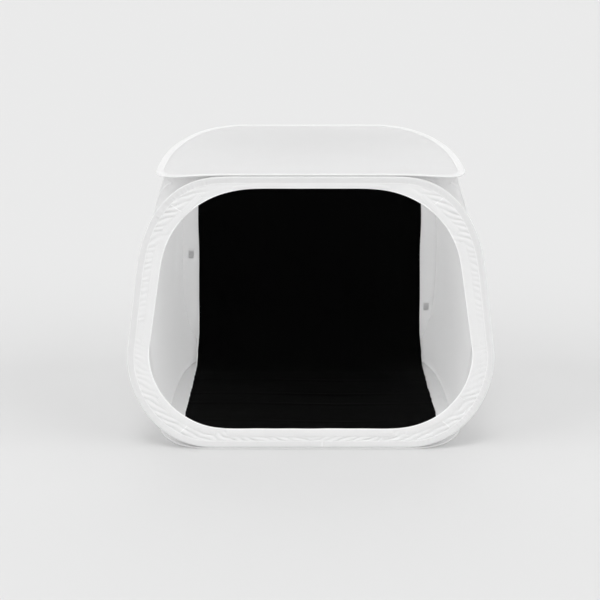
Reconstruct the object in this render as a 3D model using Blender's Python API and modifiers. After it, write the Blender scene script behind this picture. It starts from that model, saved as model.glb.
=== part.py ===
"""A pop-up light tent: a cube of thin white cloth held open by four sprung wire hoops.

The hoops are hinged edge to edge into a ring round the cube: floor, front, back and top. Cloth
panels fill the floor, back and top hoops, and a soft wall closes each side. The front hoop has no
panel: a sewn band with strips of hook-and-loop tape runs round its opening. A black backdrop hangs
from the back panel and sweeps forward over the floor. To pack it, the ring of hoops shears flat.

Metres, +Z up. The opening faces -Y, and the origin is the middle of the base.
"""

import math

import bmesh
import bpy
import numpy as np

# Driving dimensions of the ring of hoops
RING_DEPTH = 1.205
RING_RISE = 1.103

# Clearance between pieces that touch
GAP = 0.0003

# Cloth and tape thicknesses
PANEL_CLOTH = 0.0012
WALL_CLOTH = 0.0010
BACKDROP_CLOTH = 0.0012
WEB_CLOTH = 0.0010
TAPE_THICKNESS = 0.0012

# Spring wire and the crimped ferrule that joins its ends
WIRE_RADIUS = 0.0018
WIRE_END_GAP = 0.0006
FERRULE_LENGTH = 0.045
FERRULE_WALL = 0.0004
MERGE_DISTANCE = 0.00003

# Sleeve: a folded strip of cloth round the wire, its two lips gripping the panel's edge
SLEEVE_HALF_THICKNESS = 0.0035
SLEEVE_CLOTH = 0.0007
SLEEVE_FOLD_CLOTH = 0.0006
SLEEVE_LIP_CLOTH = 0.0008
SLEEVE_SEAM_DEPTH = 0.0245
SLEEVE_ROUND_DEPTH = 0.0020
POCKET_ROUND_DEPTH = 0.0018
SLEEVE_FLAT_DEPTH = 0.0040
SLEEVE_POCKET_DEPTH = 0.0055
PANEL_EDGE_DEPTH = 0.0080

# Front hoop, measured at the wire's centre: it bows wider than the others below its middle
FRONT_HALF_WIDTH = 0.722
FRONT_LOW_WAIST = 0.378
FRONT_HIGH_WAIST = 0.69
FRONT_TAPER_SHARE = 0.135
FRONT_LOW_STRAIGHT = 0.40
FRONT_HIGH_STRAIGHT = 0.31
FRONT_LOW_ROUND_SHARE = 1.0
FRONT_HIGH_ROUND_SHARE = 0.77

# Back hoop
BACK_HALF_WIDTH = 0.622
BACK_WAIST = 0.50
BACK_LOW_STRAIGHT = 0.42
BACK_HIGH_STRAIGHT = 0.33
BACK_LOW_ROUND_SHARE = 0.68
BACK_HIGH_ROUND_SHARE = 0.80

# Floor hoop, its depth measured from the front
FLOOR_HALF_WIDTH = 0.627
FLOOR_WAIST = 0.30
FLOOR_LOW_STRAIGHT = 0.42
FLOOR_HIGH_STRAIGHT = 0.42
FLOOR_LOW_ROUND_SHARE = 1.0
FLOOR_HIGH_ROUND_SHARE = 0.60

# Top hoop: tight front corners that droop, broad back corners
TOP_HALF_WIDTH = 0.600
TOP_WAIST = 0.13
TOP_LOW_STRAIGHT = 0.50
TOP_HIGH_STRAIGHT = 0.28
TOP_LOW_ROUND_SHARE = 1.0
TOP_HIGH_ROUND_SHARE = 0.87
TOP_CORNER_DROOP = 0.015
TOP_DROOP_LENGTH = 0.60
TOP_PANEL_SAG = 0.010

# Opening cut in the front band, measured at its edge from the base
OPENING_HALF_WIDTH = 0.640
OPENING_LOW = 0.086
OPENING_HIGH = 1.064
OPENING_LOW_WAIST = 0.314
OPENING_HIGH_WAIST = 0.654
OPENING_TAPER_SHARE = 0.156
OPENING_LOW_STRAIGHT = 0.33
OPENING_HIGH_STRAIGHT = 0.185
OPENING_LOW_ROUND_SHARE = 1.0
OPENING_HIGH_ROUND_SHARE = 0.85

# Strips of hook-and-loop tape round the opening. Places are lengths of edge from the middle of
# the opening's bottom edge.
TAPE_MARGIN = 0.002
BOTTOM_TAPE_WIDTH = 0.030
BOTTOM_TAPE_LENGTH = 0.67
TOP_TAPE_WIDTH = 0.0150
TOP_TAPE_LENGTH = 0.60
SIDE_TAPE_WIDTH = 0.030
SIDE_TAPE_LENGTH = 0.42
SIDE_TAPE_START = 0.85
LOWER_CORNER_TAPE_WIDTH = 0.026
LOWER_CORNER_TAPE_LENGTH = 0.26
LOWER_CORNER_TAPE_START = 0.375
UPPER_CORNER_TAPE_WIDTH = 0.022
UPPER_CORNER_TAPE_LENGTH = 0.20
UPPER_CORNER_TAPE_MIDDLE = 1.405

# Edge webs: L-shaped strips in the ring's four inner corners
WEB_LEG = 0.012
WEB_END_MARGIN = 0.012

# Soft walls
WALL_CORNER_INSET = 0.002
WALL_FULLNESS_SHARE = 0.25

# Backdrop cloth
BACKDROP_TOP = 0.90
BACKDROP_TOP_HALF_WIDTH = 0.520
BACKDROP_FRONT_HALF_WIDTH = 0.537
BACKDROP_SWEEP_RADIUS = 0.25
BACKDROP_FRONT_MARGIN = 0.10

# Patches that the backdrop hangs from
HOOK_PATCH_WIDTH = 0.050
HOOK_PATCH_HEIGHT = 0.025
HOOK_PATCH_DROP = 0.016
HOOK_PATCH_SPREAD = 0.44

# Small patches beside the backdrop on the back panel
SIDE_PATCH_WIDTH = 0.024
SIDE_PATCH_HEIGHT = 0.036
LEFT_PATCH_PLACE = 0.553
LEFT_PATCH_RISE = 0.505
RIGHT_PATCH_PLACE = 0.556
RIGHT_PATCH_RISE = 0.250

# How finely each form is divided
ARC_STEPS = 9
PANEL_RING_SHARES = (0.35, 0.65, 0.85, 1.0)
WALL_COLUMNS = 20
WALL_ROWS = 14
NET_TURNS = 600
BACKDROP_COLUMNS = 12
BACKDROP_HANG_STEPS = 5
BACKDROP_SWEEP_STEPS = 8
BACKDROP_FLOOR_STEPS = 6
FERRULE_SIDES = 12
OBLONG_TANGENT_SHARE = 0.1

# Sizes that follow from those above
SLOT_HALF = PANEL_CLOTH / 2 + GAP
LIP_HALF = SLOT_HALF + SLEEVE_LIP_CLOTH
POCKET_HALF = SLEEVE_HALF_THICKNESS - SLEEVE_CLOTH
SLEEVE_THICKNESS = 2 * SLEEVE_HALF_THICKNESS
FRONT_HINGE_Y = -RING_DEPTH / 2
BACK_HINGE_Y = RING_DEPTH / 2
LOW_HINGE_Z = SLEEVE_THICKNESS + GAP / 2
HIGH_HINGE_Z = LOW_HINGE_Z + RING_RISE
FRONT_PLANE_Y = FRONT_HINGE_Y - SLEEVE_HALF_THICKNESS
BACK_PLANE_Y = BACK_HINGE_Y + SLEEVE_HALF_THICKNESS
FLOOR_PLANE_Z = SLEEVE_HALF_THICKNESS
TOP_PLANE_Z = HIGH_HINGE_Z + GAP / 2 + SLEEVE_HALF_THICKNESS
UPRIGHT_LOW = LOW_HINGE_Z + GAP / 2 + SLEEVE_HALF_THICKNESS
UPRIGHT_HIGH = HIGH_HINGE_Z - GAP / 2 - SLEEVE_HALF_THICKNESS
FLOOR_FRONT = FRONT_PLANE_Y
FLOOR_BACK = BACK_HINGE_Y - GAP - SLEEVE_HALF_THICKNESS
TOP_FRONT = FRONT_HINGE_Y + GAP + SLEEVE_HALF_THICKNESS
TOP_BACK = BACK_PLANE_Y
TAPE_Y = FRONT_PLANE_Y - PANEL_CLOTH / 2 - GAP - TAPE_THICKNESS / 2
PATCH_Y = BACK_PLANE_Y - PANEL_CLOTH / 2 - GAP - TAPE_THICKNESS / 2
HOOK_PATCH_Y = PATCH_Y - TAPE_THICKNESS - GAP
BACKDROP_Y = HOOK_PATCH_Y - TAPE_THICKNESS / 2 - GAP - BACKDROP_CLOTH / 2
BACKDROP_Z = FLOOR_PLANE_Z + PANEL_CLOTH / 2 + GAP + BACKDROP_CLOTH / 2


def clear_scene():
    """Removes what the scene already holds."""
    for obj in list(bpy.data.objects):
        bpy.data.objects.remove(obj, do_unlink=True)


def make_collection(name):
    collection = bpy.data.collections.new(name)
    bpy.context.scene.collection.children.link(collection)
    return collection


def make_material(name, colour, roughness, metallic=0.0):
    material = bpy.data.materials.new(name)
    material.use_nodes = True
    shader = material.node_tree.nodes["Principled BSDF"]
    shader.inputs["Base Color"].default_value = (*colour, 1.0)
    shader.inputs["Roughness"].default_value = roughness
    shader.inputs["Metallic"].default_value = metallic
    material.diffuse_color = (*colour, 1.0)
    return material


def materials():
    return {
        "sleeve": make_material("sleeve cloth", (0.86, 0.86, 0.85), 0.75),
        "panel": make_material("panel cloth", (0.80, 0.80, 0.79), 0.80),
        "wall": make_material("wall cloth", (0.74, 0.74, 0.74), 0.85),
        "band": make_material("band cloth", (0.82, 0.82, 0.81), 0.80),
        "tape": make_material("white hook-and-loop tape", (0.88, 0.88, 0.87), 0.90),
        "patch": make_material("grey hook-and-loop patch", (0.45, 0.45, 0.45), 0.90),
        "backdrop": make_material("black backdrop cloth", (0.004, 0.004, 0.004), 0.95),
        "wire": make_material("spring steel", (0.42, 0.43, 0.45), 0.35, 1.0),
        "ferrule": make_material("aluminium ferrule", (0.75, 0.75, 0.76), 0.40, 1.0),
    }


def arc(corner, half_width, end, taper_share):
    """Points of one corner, from the straight edge's end to the waist.

    A quarter of an ellipse whose sine and cosine are raised to the round share: 1 is a true
    ellipse, and less than 1 fills the corner out. Beyond the waist the width tapers.

    corner: half the straight edge's length, the waist's place and the round share.
    """
    straight, waist, round_share = corner
    turn = np.linspace(0, math.pi / 2, ARC_STEPS + 1)
    along = waist + (end - waist) * np.cos(turn).clip(0, 1) ** round_share
    reach = half_width - taper_share * (along - waist)
    across = straight + (reach - straight) * np.sin(turn) ** round_share
    return np.column_stack([across, along])


def outline(half_width, low, high, low_corner, high_corner, taper_share=0, low_stops=()):
    """A closed loop, from the middle of its low edge round the right side and back by the left.

    low_stops: where the low edge's right half has points between its ends.
    """
    lower = arc(low_corner, half_width, low, 0)
    taken = taper_share * (high_corner[1] - low_corner[1])
    upper = arc(high_corner, half_width - taken, high, taper_share)[::-1]
    same = high_corner[1] == low_corner[1]
    stops = np.array([(across, low) for across in low_stops]).reshape(-1, 2)
    right = np.vstack([stops, lower, upper[1:] if same else upper])
    left = right[::-1] * (-1, 1)
    return np.vstack([[(0, low)], right, [(0, high)], left])


def inset(loop, distance):
    """The closed loop moved inwards, each corner mitred. A negative distance moves it outwards."""
    ahead = np.roll(loop, -1, axis=0) - loop
    behind = loop - np.roll(loop, 1, axis=0)
    ahead /= np.linalg.norm(ahead, axis=1)[:, None]
    behind /= np.linalg.norm(behind, axis=1)[:, None]
    along = ahead + behind
    along /= np.linalg.norm(along, axis=1)[:, None]
    inward = np.column_stack([-along[:, 1], along[:, 0]])
    half_turn = np.einsum("ij,ij->i", along, ahead)[:, None]
    return loop + inward * distance / half_turn


def line_places(points):
    """How far along an open line each of its points lies."""
    steps = np.linalg.norm(np.diff(points, axis=0), axis=1)
    return np.concatenate([[0], np.cumsum(steps)])


def line_length(points):
    return line_places(points)[-1]


def points_at(points, places):
    length = line_places(points)
    return np.column_stack([np.interp(places, length, axis) for axis in points.T])


def resample(points, count):
    """The open line with count points spaced evenly along its length."""
    return points_at(points, np.linspace(0, line_length(points), count))


def stretch(points, start, end):
    """The part of an open line between two lengths along it, with its own points kept."""
    length = line_places(points)
    inside = length[(length > start) & (length < end)]
    return points_at(points, np.concatenate([[start], inside, [end]]))


def smooth(value):
    """A smooth step from 0 to 1."""
    value = np.clip(value, 0, 1)
    return value * value * (3 - 2 * value)


def hoop_outlines():
    """The four wires' centre lines, each in its own plane."""
    floor_waist = FLOOR_FRONT + FLOOR_WAIST
    back_waist = UPRIGHT_LOW + BACK_WAIST
    top_waist = TOP_FRONT + TOP_WAIST
    return {
        "floor": outline(
            FLOOR_HALF_WIDTH, FLOOR_FRONT, FLOOR_BACK,
            (FLOOR_LOW_STRAIGHT, floor_waist, FLOOR_LOW_ROUND_SHARE),
            (FLOOR_HIGH_STRAIGHT, floor_waist, FLOOR_HIGH_ROUND_SHARE),
        ),
        "front": outline(
            FRONT_HALF_WIDTH, UPRIGHT_LOW, UPRIGHT_HIGH,
            (FRONT_LOW_STRAIGHT, UPRIGHT_LOW + FRONT_LOW_WAIST, FRONT_LOW_ROUND_SHARE),
            (FRONT_HIGH_STRAIGHT, UPRIGHT_LOW + FRONT_HIGH_WAIST, FRONT_HIGH_ROUND_SHARE),
            FRONT_TAPER_SHARE,
        ),
        "back": outline(
            BACK_HALF_WIDTH, UPRIGHT_LOW, UPRIGHT_HIGH,
            (BACK_LOW_STRAIGHT, back_waist, BACK_LOW_ROUND_SHARE),
            (BACK_HIGH_STRAIGHT, back_waist, BACK_HIGH_ROUND_SHARE),
        ),
        "top": outline(
            TOP_HALF_WIDTH, TOP_FRONT, TOP_BACK,
            (TOP_LOW_STRAIGHT, top_waist, TOP_LOW_ROUND_SHARE),
            (TOP_HIGH_STRAIGHT, top_waist, TOP_HIGH_ROUND_SHARE),
            low_stops=(FRONT_HIGH_STRAIGHT, (FRONT_HIGH_STRAIGHT + TOP_LOW_STRAIGHT) / 2),
        ),
    }


def opening_outline():
    return outline(
        OPENING_HALF_WIDTH, OPENING_LOW, OPENING_HIGH,
        (OPENING_LOW_STRAIGHT, OPENING_LOW + OPENING_LOW_WAIST, OPENING_LOW_ROUND_SHARE),
        (OPENING_HIGH_STRAIGHT, OPENING_LOW + OPENING_HIGH_WAIST, OPENING_HIGH_ROUND_SHARE),
        OPENING_TAPER_SHARE,
    )


def droop(points):
    """How far the top hoop lies below its plane: beyond the hinge its front corners hang down."""
    free = TOP_HALF_WIDTH - FRONT_HIGH_STRAIGHT
    sideways = np.clip((np.abs(points[:, 0]) - FRONT_HIGH_STRAIGHT) / free, 0, 1)
    back = np.clip((points[:, 1] - TOP_FRONT) / TOP_DROOP_LENGTH, 0, 1)
    return -TOP_CORNER_DROOP * sideways**2 * (1 - back) ** 2


def no_droop(points):
    return np.zeros(len(points))


def finish(obj, collection, material, carrier):
    """Puts an object in its collection, gives it its finish and hangs it on what carries it."""
    collection.objects.link(obj)
    if obj.data.materials:
        obj.data.materials[0] = material
    else:
        obj.data.materials.append(material)
    if carrier is not None:
        bpy.context.view_layer.update()
        obj.parent = carrier
        obj.matrix_parent_inverse = carrier.matrix_world.inverted()
    return obj


def lay(obj, height):
    """Puts a shape drawn in the XY plane level at a height."""
    obj.location = (0, 0, height)


def stand(obj, depth):
    """Stands a shape drawn in the XY plane upright, facing the opening."""
    obj.rotation_euler = (math.pi / 2, 0, 0)
    obj.location = (0, depth, 0)


def line_curve(name, points, cyclic, dimensions="3D"):
    """A curve object through the points, with straight runs between them."""
    curve = bpy.data.curves.new(name, "CURVE")
    curve.dimensions = dimensions
    add_line(curve, points, cyclic)
    return bpy.data.objects.new(name, curve)


def add_line(curve, points, cyclic):
    spline = curve.splines.new("POLY")
    spline.points.add(len(points) - 1)
    flat = np.zeros((len(points), 4))
    flat[:, : points.shape[1]] = points
    flat[:, 3] = 1
    spline.points.foreach_set("co", flat.ravel())
    spline.use_cyclic_u = cyclic


def raised(loop, height_of):
    return np.column_stack([loop, height_of(loop)])


def sleeve_section(guides):
    """The sleeve's cross-section, in from the wire's centre and across the hoop's plane.

    Its outer side is a rounded fold with a flat on each face, and its inner side leaves a pocket
    for the wire and a slot that grips the panel's edge. It is mirrored at the end, because a
    section's own +X points away from the hoop's middle.
    """
    outer = [
        (-SLEEVE_HALF_THICKNESS, 0),
        (-SLEEVE_ROUND_DEPTH, SLEEVE_HALF_THICKNESS),
        (SLEEVE_FLAT_DEPTH, SLEEVE_HALF_THICKNESS),
        (SLEEVE_SEAM_DEPTH, LIP_HALF),
    ]
    inner = [
        (SLEEVE_SEAM_DEPTH, SLOT_HALF),
        (SLEEVE_POCKET_DEPTH, SLOT_HALF),
        (POCKET_HALF, POCKET_HALF),
        (-POCKET_ROUND_DEPTH, POCKET_HALF),
        (SLEEVE_FOLD_CLOTH - SLEEVE_HALF_THICKNESS, 0),
    ]
    top_side = outer + inner
    low_side = [(x, -y) for x, y in reversed(top_side) if y > 0]
    points = np.array(top_side + low_side)[::-1] * (-1, 1)
    section = line_curve("sleeve_section", points, True, "2D")
    section.hide_render = True
    section.display_type = "WIRE"
    guides.objects.link(section)
    return section


def make_sleeve(name, loop, height_of, section):
    """The folded cloth strip, its section carried round the wire's centre line."""
    sleeve = line_curve(name, raised(loop, height_of), True)
    sleeve.data.twist_mode = "Z_UP"
    sleeve.data.bevel_mode = "OBJECT"
    sleeve.data.bevel_object = section
    return sleeve


def make_wire(name, loop, height_of, joint_high):
    """The spring wire, open by a hair where its two ends meet in the ferrule."""
    half = len(loop) // 2
    start = np.roll(loop, -half, axis=0) if joint_high else loop
    way = -1 if joint_high else 1
    first, last = start[0].copy(), start[0].copy()
    first[0] += way * WIRE_END_GAP / 2
    last[0] -= way * WIRE_END_GAP / 2
    points = np.vstack([[first], start[1:], [last]])
    wire = line_curve(name, raised(points, height_of), False)
    wire.data.bevel_depth = WIRE_RADIUS
    wire.data.bevel_resolution = 2
    wire.data.use_fill_caps = True
    return wire


def make_ferrule(name, middle):
    """A short tube round the wire's joint, turned round the wire's line, which runs along X."""
    bore = WIRE_RADIUS + GAP
    skin = bore + FERRULE_WALL
    half = FERRULE_LENGTH / 2
    mesh = bpy.data.meshes.new(name)
    shape = bmesh.new()
    corners = [(skin, half), (skin, -half), (bore, -half), (bore, half)]
    verts = [shape.verts.new((radius, 0, along)) for radius, along in corners]
    for first, second in zip(verts, verts[1:] + verts[:1]):
        shape.edges.new((first, second))
    shape.to_mesh(mesh)
    shape.free()
    obj = bpy.data.objects.new(name, mesh)
    screw = obj.modifiers.new("turn", "SCREW")
    screw.axis = "Z"
    screw.steps = FERRULE_SIDES
    screw.render_steps = FERRULE_SIDES
    screw.use_merge_vertices = True
    screw.merge_threshold = MERGE_DISTANCE
    obj.rotation_euler = (0, math.pi / 2, 0)
    obj.location = middle
    return obj


def make_plate(name, loops, thickness):
    """A flat sheet with the given outline. A second loop is a hole in it."""
    obj = line_curve(name, loops[0], True, "2D")
    for loop in loops[1:]:
        add_line(obj.data, loop, True)
    obj.data.fill_mode = "BOTH"
    obj.data.extrude = thickness / 2
    return obj


def make_sheet(name, grid, thickness):
    """A thin sheet through a grid of points, rows by columns by 3, as thick to each side."""
    rows, columns = grid.shape[:2]
    mesh = bpy.data.meshes.new(name)
    shape = bmesh.new()
    verts = [shape.verts.new(point) for point in grid.reshape(-1, 3)]
    for row in range(rows - 1):
        for column in range(columns - 1):
            corner = row * columns + column
            beside = corner + columns
            shape.faces.new([verts[i] for i in (corner, corner + 1, beside + 1, beside)])
    shape.to_mesh(mesh)
    shape.free()
    return thicken(bpy.data.objects.new(name, mesh), thickness)


def make_drum(name, loop, height_of, sag, thickness):
    """A sheet whose edge lies flat in a hoop's sleeve and which sags towards its middle.

    It is made of rings that shrink to the middle. The two outer ones keep the hoop's own height,
    so that the edge stays in its slot.
    """
    edge = inset(loop, PANEL_EDGE_DEPTH)
    seam = inset(loop, SLEEVE_SEAM_DEPTH + SLEEVE_ROUND_DEPTH)
    centre = seam.mean(axis=0)
    height = height_of(loop)
    mesh = bpy.data.meshes.new(name)
    shape = bmesh.new()
    rings = []
    for share in PANEL_RING_SHARES:
        ring = centre + (seam - centre) * share
        rings.append(np.column_stack([ring, height * share**2 - sag * (1 - share**2)]))
    rings.append(np.column_stack([edge, height]))
    rings = [[shape.verts.new(point) for point in ring] for ring in rings]
    middle = shape.verts.new((*centre, -sag))
    count = len(loop)
    for i in range(count):
        after = (i + 1) % count
        shape.faces.new([middle, rings[0][i], rings[0][after]])
        for inner, outer in zip(rings, rings[1:]):
            shape.faces.new([inner[i], outer[i], outer[after], inner[after]])
    shape.to_mesh(mesh)
    shape.free()
    return thicken(bpy.data.objects.new(name, mesh), thickness)


def thicken(obj, thickness):
    solid = obj.modifiers.new("thickness", "SOLIDIFY")
    solid.thickness = thickness
    solid.offset = 0
    for polygon in obj.data.polygons:
        polygon.use_smooth = True
    return obj


def hinge_empties(collection):
    """An empty on each hinge line. The top hangs on the back hoop, and both on the floor hoop."""
    places = {
        "front": (0, FRONT_HINGE_Y, LOW_HINGE_Z),
        "back": (0, BACK_HINGE_Y, LOW_HINGE_Z),
        "top": (0, BACK_HINGE_Y, HIGH_HINGE_Z),
    }
    empties = {}
    for name, place in places.items():
        empty = bpy.data.objects.new(name + "_hinge", None)
        collection.objects.link(empty)
        empty.location = place
        empties[name] = empty
    bpy.context.view_layer.update()
    empties["top"].parent = empties["back"]
    empties["top"].matrix_parent_inverse = empties["back"].matrix_world.inverted()
    empties["floor"] = None
    return empties


def build_hoops(loops, section, tent, finishes, hinges):
    """Each hoop's wire, ferrule and sleeve."""
    planes = {
        "floor": (lay, FLOOR_PLANE_Z, no_droop, False),
        "front": (stand, FRONT_PLANE_Y, no_droop, False),
        "back": (stand, BACK_PLANE_Y, no_droop, False),
        "top": (lay, TOP_PLANE_Z, droop, True),
    }
    for name, (place, where, height_of, joint_high) in planes.items():
        loop = loops[name]
        wire = make_wire(name + "_hoop_wire", loop, height_of, joint_high)
        sleeve = make_sleeve(name + "_hoop_sleeve", loop, height_of, section)
        place(wire, where)
        place(sleeve, where)
        joint = loop[len(loop) // 2] if joint_high else loop[0]
        upright = place is stand
        middle = (0, where, joint[1]) if upright else (0, joint[1], where)
        ferrule = make_ferrule(name + "_hoop_ferrule", middle)
        finish(wire, tent, finishes["wire"], hinges[name])
        finish(ferrule, tent, finishes["ferrule"], hinges[name])
        finish(sleeve, tent, finishes["sleeve"], hinges[name])


def build_panels(loops, tent, finishes, hinges):
    """The cloth in the floor, back and top hoops, its edge held in the sleeves."""
    floor = make_plate("floor_panel", [inset(loops["floor"], PANEL_EDGE_DEPTH)], PANEL_CLOTH)
    lay(floor, FLOOR_PLANE_Z)
    finish(floor, tent, finishes["panel"], None)
    back = make_plate("back_panel", [inset(loops["back"], PANEL_EDGE_DEPTH)], PANEL_CLOTH)
    stand(back, BACK_PLANE_Y)
    finish(back, tent, finishes["panel"], hinges["back"])
    top = make_drum("top_panel", loops["top"], droop, TOP_PANEL_SAG, PANEL_CLOTH)
    lay(top, TOP_PLANE_Z)
    finish(top, tent, finishes["panel"], hinges["top"])


def right_half(loop):
    """The open line from the middle of the low edge to the middle of the high edge."""
    return loop[: len(loop) // 2 + 1]


def ribbon(line, width, margin):
    """The closed outline of a strip of a given width that follows a line on its outer side."""
    along = np.gradient(line, axis=0)
    along /= np.linalg.norm(along, axis=1)[:, None]
    outward = np.column_stack([along[:, 1], -along[:, 0]])
    return np.vstack([line + outward * margin, (line + outward * (margin + width))[::-1]])


def oblong(edge, place, length):
    """A straight strip laid across a corner, its long side touching the edge at its middle."""
    short = length * OBLONG_TANGENT_SHARE
    start, middle, end = points_at(edge, (place - short, place, place + short))
    along = (end - start) / np.linalg.norm(end - start)
    return middle + np.outer((-length / 2, length / 2), along)


def tape_lines():
    """The line that each strip of tape follows on the right half of the opening, and its width."""
    edge = right_half(opening_outline())
    whole = line_length(edge)
    bottom = stretch(edge, 0, BOTTOM_TAPE_LENGTH / 2)
    top = stretch(edge, whole - TOP_TAPE_LENGTH / 2, whole)
    side = stretch(edge, SIDE_TAPE_START, SIDE_TAPE_START + SIDE_TAPE_LENGTH)
    lower = stretch(edge, LOWER_CORNER_TAPE_START, LOWER_CORNER_TAPE_START + LOWER_CORNER_TAPE_LENGTH)
    upper = oblong(edge, UPPER_CORNER_TAPE_MIDDLE, UPPER_CORNER_TAPE_LENGTH)
    return {
        "tape_bottom": (np.vstack([bottom[:0:-1] * (-1, 1), bottom]), BOTTOM_TAPE_WIDTH),
        "tape_top": (np.vstack([top, top[-2::-1] * (-1, 1)]), TOP_TAPE_WIDTH),
        "tape_side_{side}": (side, SIDE_TAPE_WIDTH),
        "tape_lower_{side}": (lower, LOWER_CORNER_TAPE_WIDTH),
        "tape_upper_{side}": (upper, UPPER_CORNER_TAPE_WIDTH),
    }


def build_front_band(loops, tent, finishes, hinges):
    """The band inside the front hoop, and the tape strips sewn on its front."""
    edge = inset(loops["front"], PANEL_EDGE_DEPTH)
    band = make_plate("front_band", [edge, opening_outline()], PANEL_CLOTH)
    stand(band, FRONT_PLANE_Y)
    finish(band, tent, finishes["band"], hinges["front"])
    for name, (line, width) in tape_lines().items():
        strip = ribbon(line, width, TAPE_MARGIN)
        for side, way in (("right", 1), ("left", -1)):
            if "{side}" not in name and way < 0:
                continue
            tape = make_plate(name.format(side=side), [strip * (way, 1)], TAPE_THICKNESS)
            stand(tape, TAPE_Y)
            finish(tape, tent, finishes["tape"], hinges["front"])


def build_webs(loops, tent, finishes, hinges):
    """The sewn strip in each inner corner of the ring, along both hoops' straight edges."""
    corners = {
        "front_floor_web": ("front", FRONT_HINGE_Y, LOW_HINGE_Z, 1, 1,
                            min(FRONT_LOW_STRAIGHT, FLOOR_LOW_STRAIGHT)),
        "back_floor_web": ("back", BACK_HINGE_Y, LOW_HINGE_Z, -1, 1,
                           min(BACK_LOW_STRAIGHT, FLOOR_HIGH_STRAIGHT)),
        "back_top_web": ("top", BACK_HINGE_Y, HIGH_HINGE_Z, -1, -1,
                         min(BACK_HIGH_STRAIGHT, TOP_HIGH_STRAIGHT)),
        "front_top_web": ("top", FRONT_HINGE_Y, HIGH_HINGE_Z, 1, -1,
                          min(FRONT_HIGH_STRAIGHT, TOP_LOW_STRAIGHT)),
    }
    near, far = GAP, GAP + WEB_CLOTH
    ell = [(near, near), (WEB_LEG, near), (WEB_LEG, far), (far, far), (far, WEB_LEG), (near, WEB_LEG)]
    for name, (carrier, y, z, way_y, way_z, straight) in corners.items():
        points = np.array(ell) * (way_y, way_z)
        web = make_plate(name, [points], 2 * (straight - WEB_END_MARGIN))
        web.rotation_euler = (math.pi / 2, 0, math.pi / 2)
        web.location = (0, y, z)
        finish(web, tent, finishes["sleeve"], hinges[carrier])


def seam_line(loop, low, high, height_of=no_droop):
    """The right side of a hoop's seam, from one hinge's end to the other hinge's end."""
    seam = np.column_stack([inset(loop, SLEEVE_SEAM_DEPTH), height_of(loop)])
    seam = right_half(seam)
    return stretch(seam, low, line_length(seam) - high)


def wall_edges(loops):
    """The right wall's four edges in space: along the floor, top, front and back hoops' seams."""
    front_low = min(FRONT_LOW_STRAIGHT, FLOOR_LOW_STRAIGHT)
    back_low = min(BACK_LOW_STRAIGHT, FLOOR_HIGH_STRAIGHT)
    back_high = min(BACK_HIGH_STRAIGHT, TOP_HIGH_STRAIGHT)
    front_high = min(FRONT_HIGH_STRAIGHT, TOP_LOW_STRAIGHT)
    front_y = FRONT_HINGE_Y + WALL_CORNER_INSET
    back_y = BACK_HINGE_Y - WALL_CORNER_INSET
    low_z = LOW_HINGE_Z + WALL_CORNER_INSET
    high_z = HIGH_HINGE_Z - WALL_CORNER_INSET
    corners = [
        np.array([(front_low, front_y, low_z)]),
        np.array([(back_low, back_y, low_z)]),
        np.array([(front_high, front_y, high_z)]),
        np.array([(back_high, back_y, high_z)]),
    ]
    tuck = LIP_HALF + GAP + WALL_CLOTH / 2
    floor = seam_line(loops["floor"], front_low, back_low) + (0, 0, FLOOR_PLANE_Z + tuck)
    top = seam_line(loops["top"], front_high, back_high, droop) + (0, 0, TOP_PLANE_Z - tuck)
    front = seam_line(loops["front"], front_low, front_high)[:, [0, 2, 1]]
    back = seam_line(loops["back"], back_low, back_high)[:, [0, 2, 1]]
    front = front + (0, FRONT_PLANE_Y + tuck, 0)
    back = back + (0, BACK_PLANE_Y - tuck, 0)
    return {
        "floor": np.vstack([corners[0], floor, corners[1]]),
        "top": np.vstack([corners[2], top, corners[3]]),
        "front": np.vstack([corners[0], front, corners[2]]),
        "back": np.vstack([corners[1], back, corners[3]]),
    }


def wall_grid(edges):
    """A net stretched between four edges: mostly drawn tight, with a share of fullness left in.

    The full net is the two ruled surfaces less the corners' own. The tight one comes from it by
    moving each inner point to the middle of its four neighbours until the net is at rest.
    """
    low = resample(edges["floor"], WALL_COLUMNS)
    high = resample(edges["top"], WALL_COLUMNS)
    front = resample(edges["front"], WALL_ROWS)
    back = resample(edges["back"], WALL_ROWS)
    u = np.linspace(0, 1, WALL_COLUMNS)[None, :, None]
    v = np.linspace(0, 1, WALL_ROWS)[:, None, None]
    between_levels = (1 - v) * low[None] + v * high[None]
    between_uprights = (1 - u) * front[:, None] + u * back[:, None]
    corners = (1 - v) * ((1 - u) * low[0] + u * low[-1]) + v * ((1 - u) * high[0] + u * high[-1])
    full = between_levels + between_uprights - corners
    tight = full.copy()
    for _ in range(NET_TURNS):
        beside = tight[1:-1, :-2] + tight[1:-1, 2:]
        above = tight[:-2, 1:-1] + tight[2:, 1:-1]
        tight[1:-1, 1:-1] = (beside + above) / 4
    return tight + WALL_FULLNESS_SHARE * (full - tight)


def build_walls(loops, tent, finishes):
    """The two soft side walls."""
    grid = wall_grid(wall_edges(loops))
    for name, way in (("right_wall", 1), ("left_wall", -1)):
        wall = make_sheet(name, grid * (way, 1, 1), WALL_CLOTH)
        finish(wall, tent, finishes["wall"], None)


def backdrop_profile():
    """The backdrop's side view: down the back, round the sweep and forward over the floor."""
    front_end = (FRONT_HINGE_Y + BACKDROP_FRONT_MARGIN, BACKDROP_Z)
    turn = np.linspace(0, math.pi / 2, BACKDROP_SWEEP_STEPS + 1)
    bend = np.column_stack([np.cos(turn) - 1, 1 - np.sin(turn)])
    sweep = (BACKDROP_Y, BACKDROP_Z) + BACKDROP_SWEEP_RADIUS * bend
    drop = np.linspace((BACKDROP_Y, BACKDROP_TOP), sweep[0], BACKDROP_HANG_STEPS + 1)
    run = np.linspace(sweep[-1], front_end, BACKDROP_FLOOR_STEPS + 1)
    return np.vstack([drop, sweep[1:], run[1:]])


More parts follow.
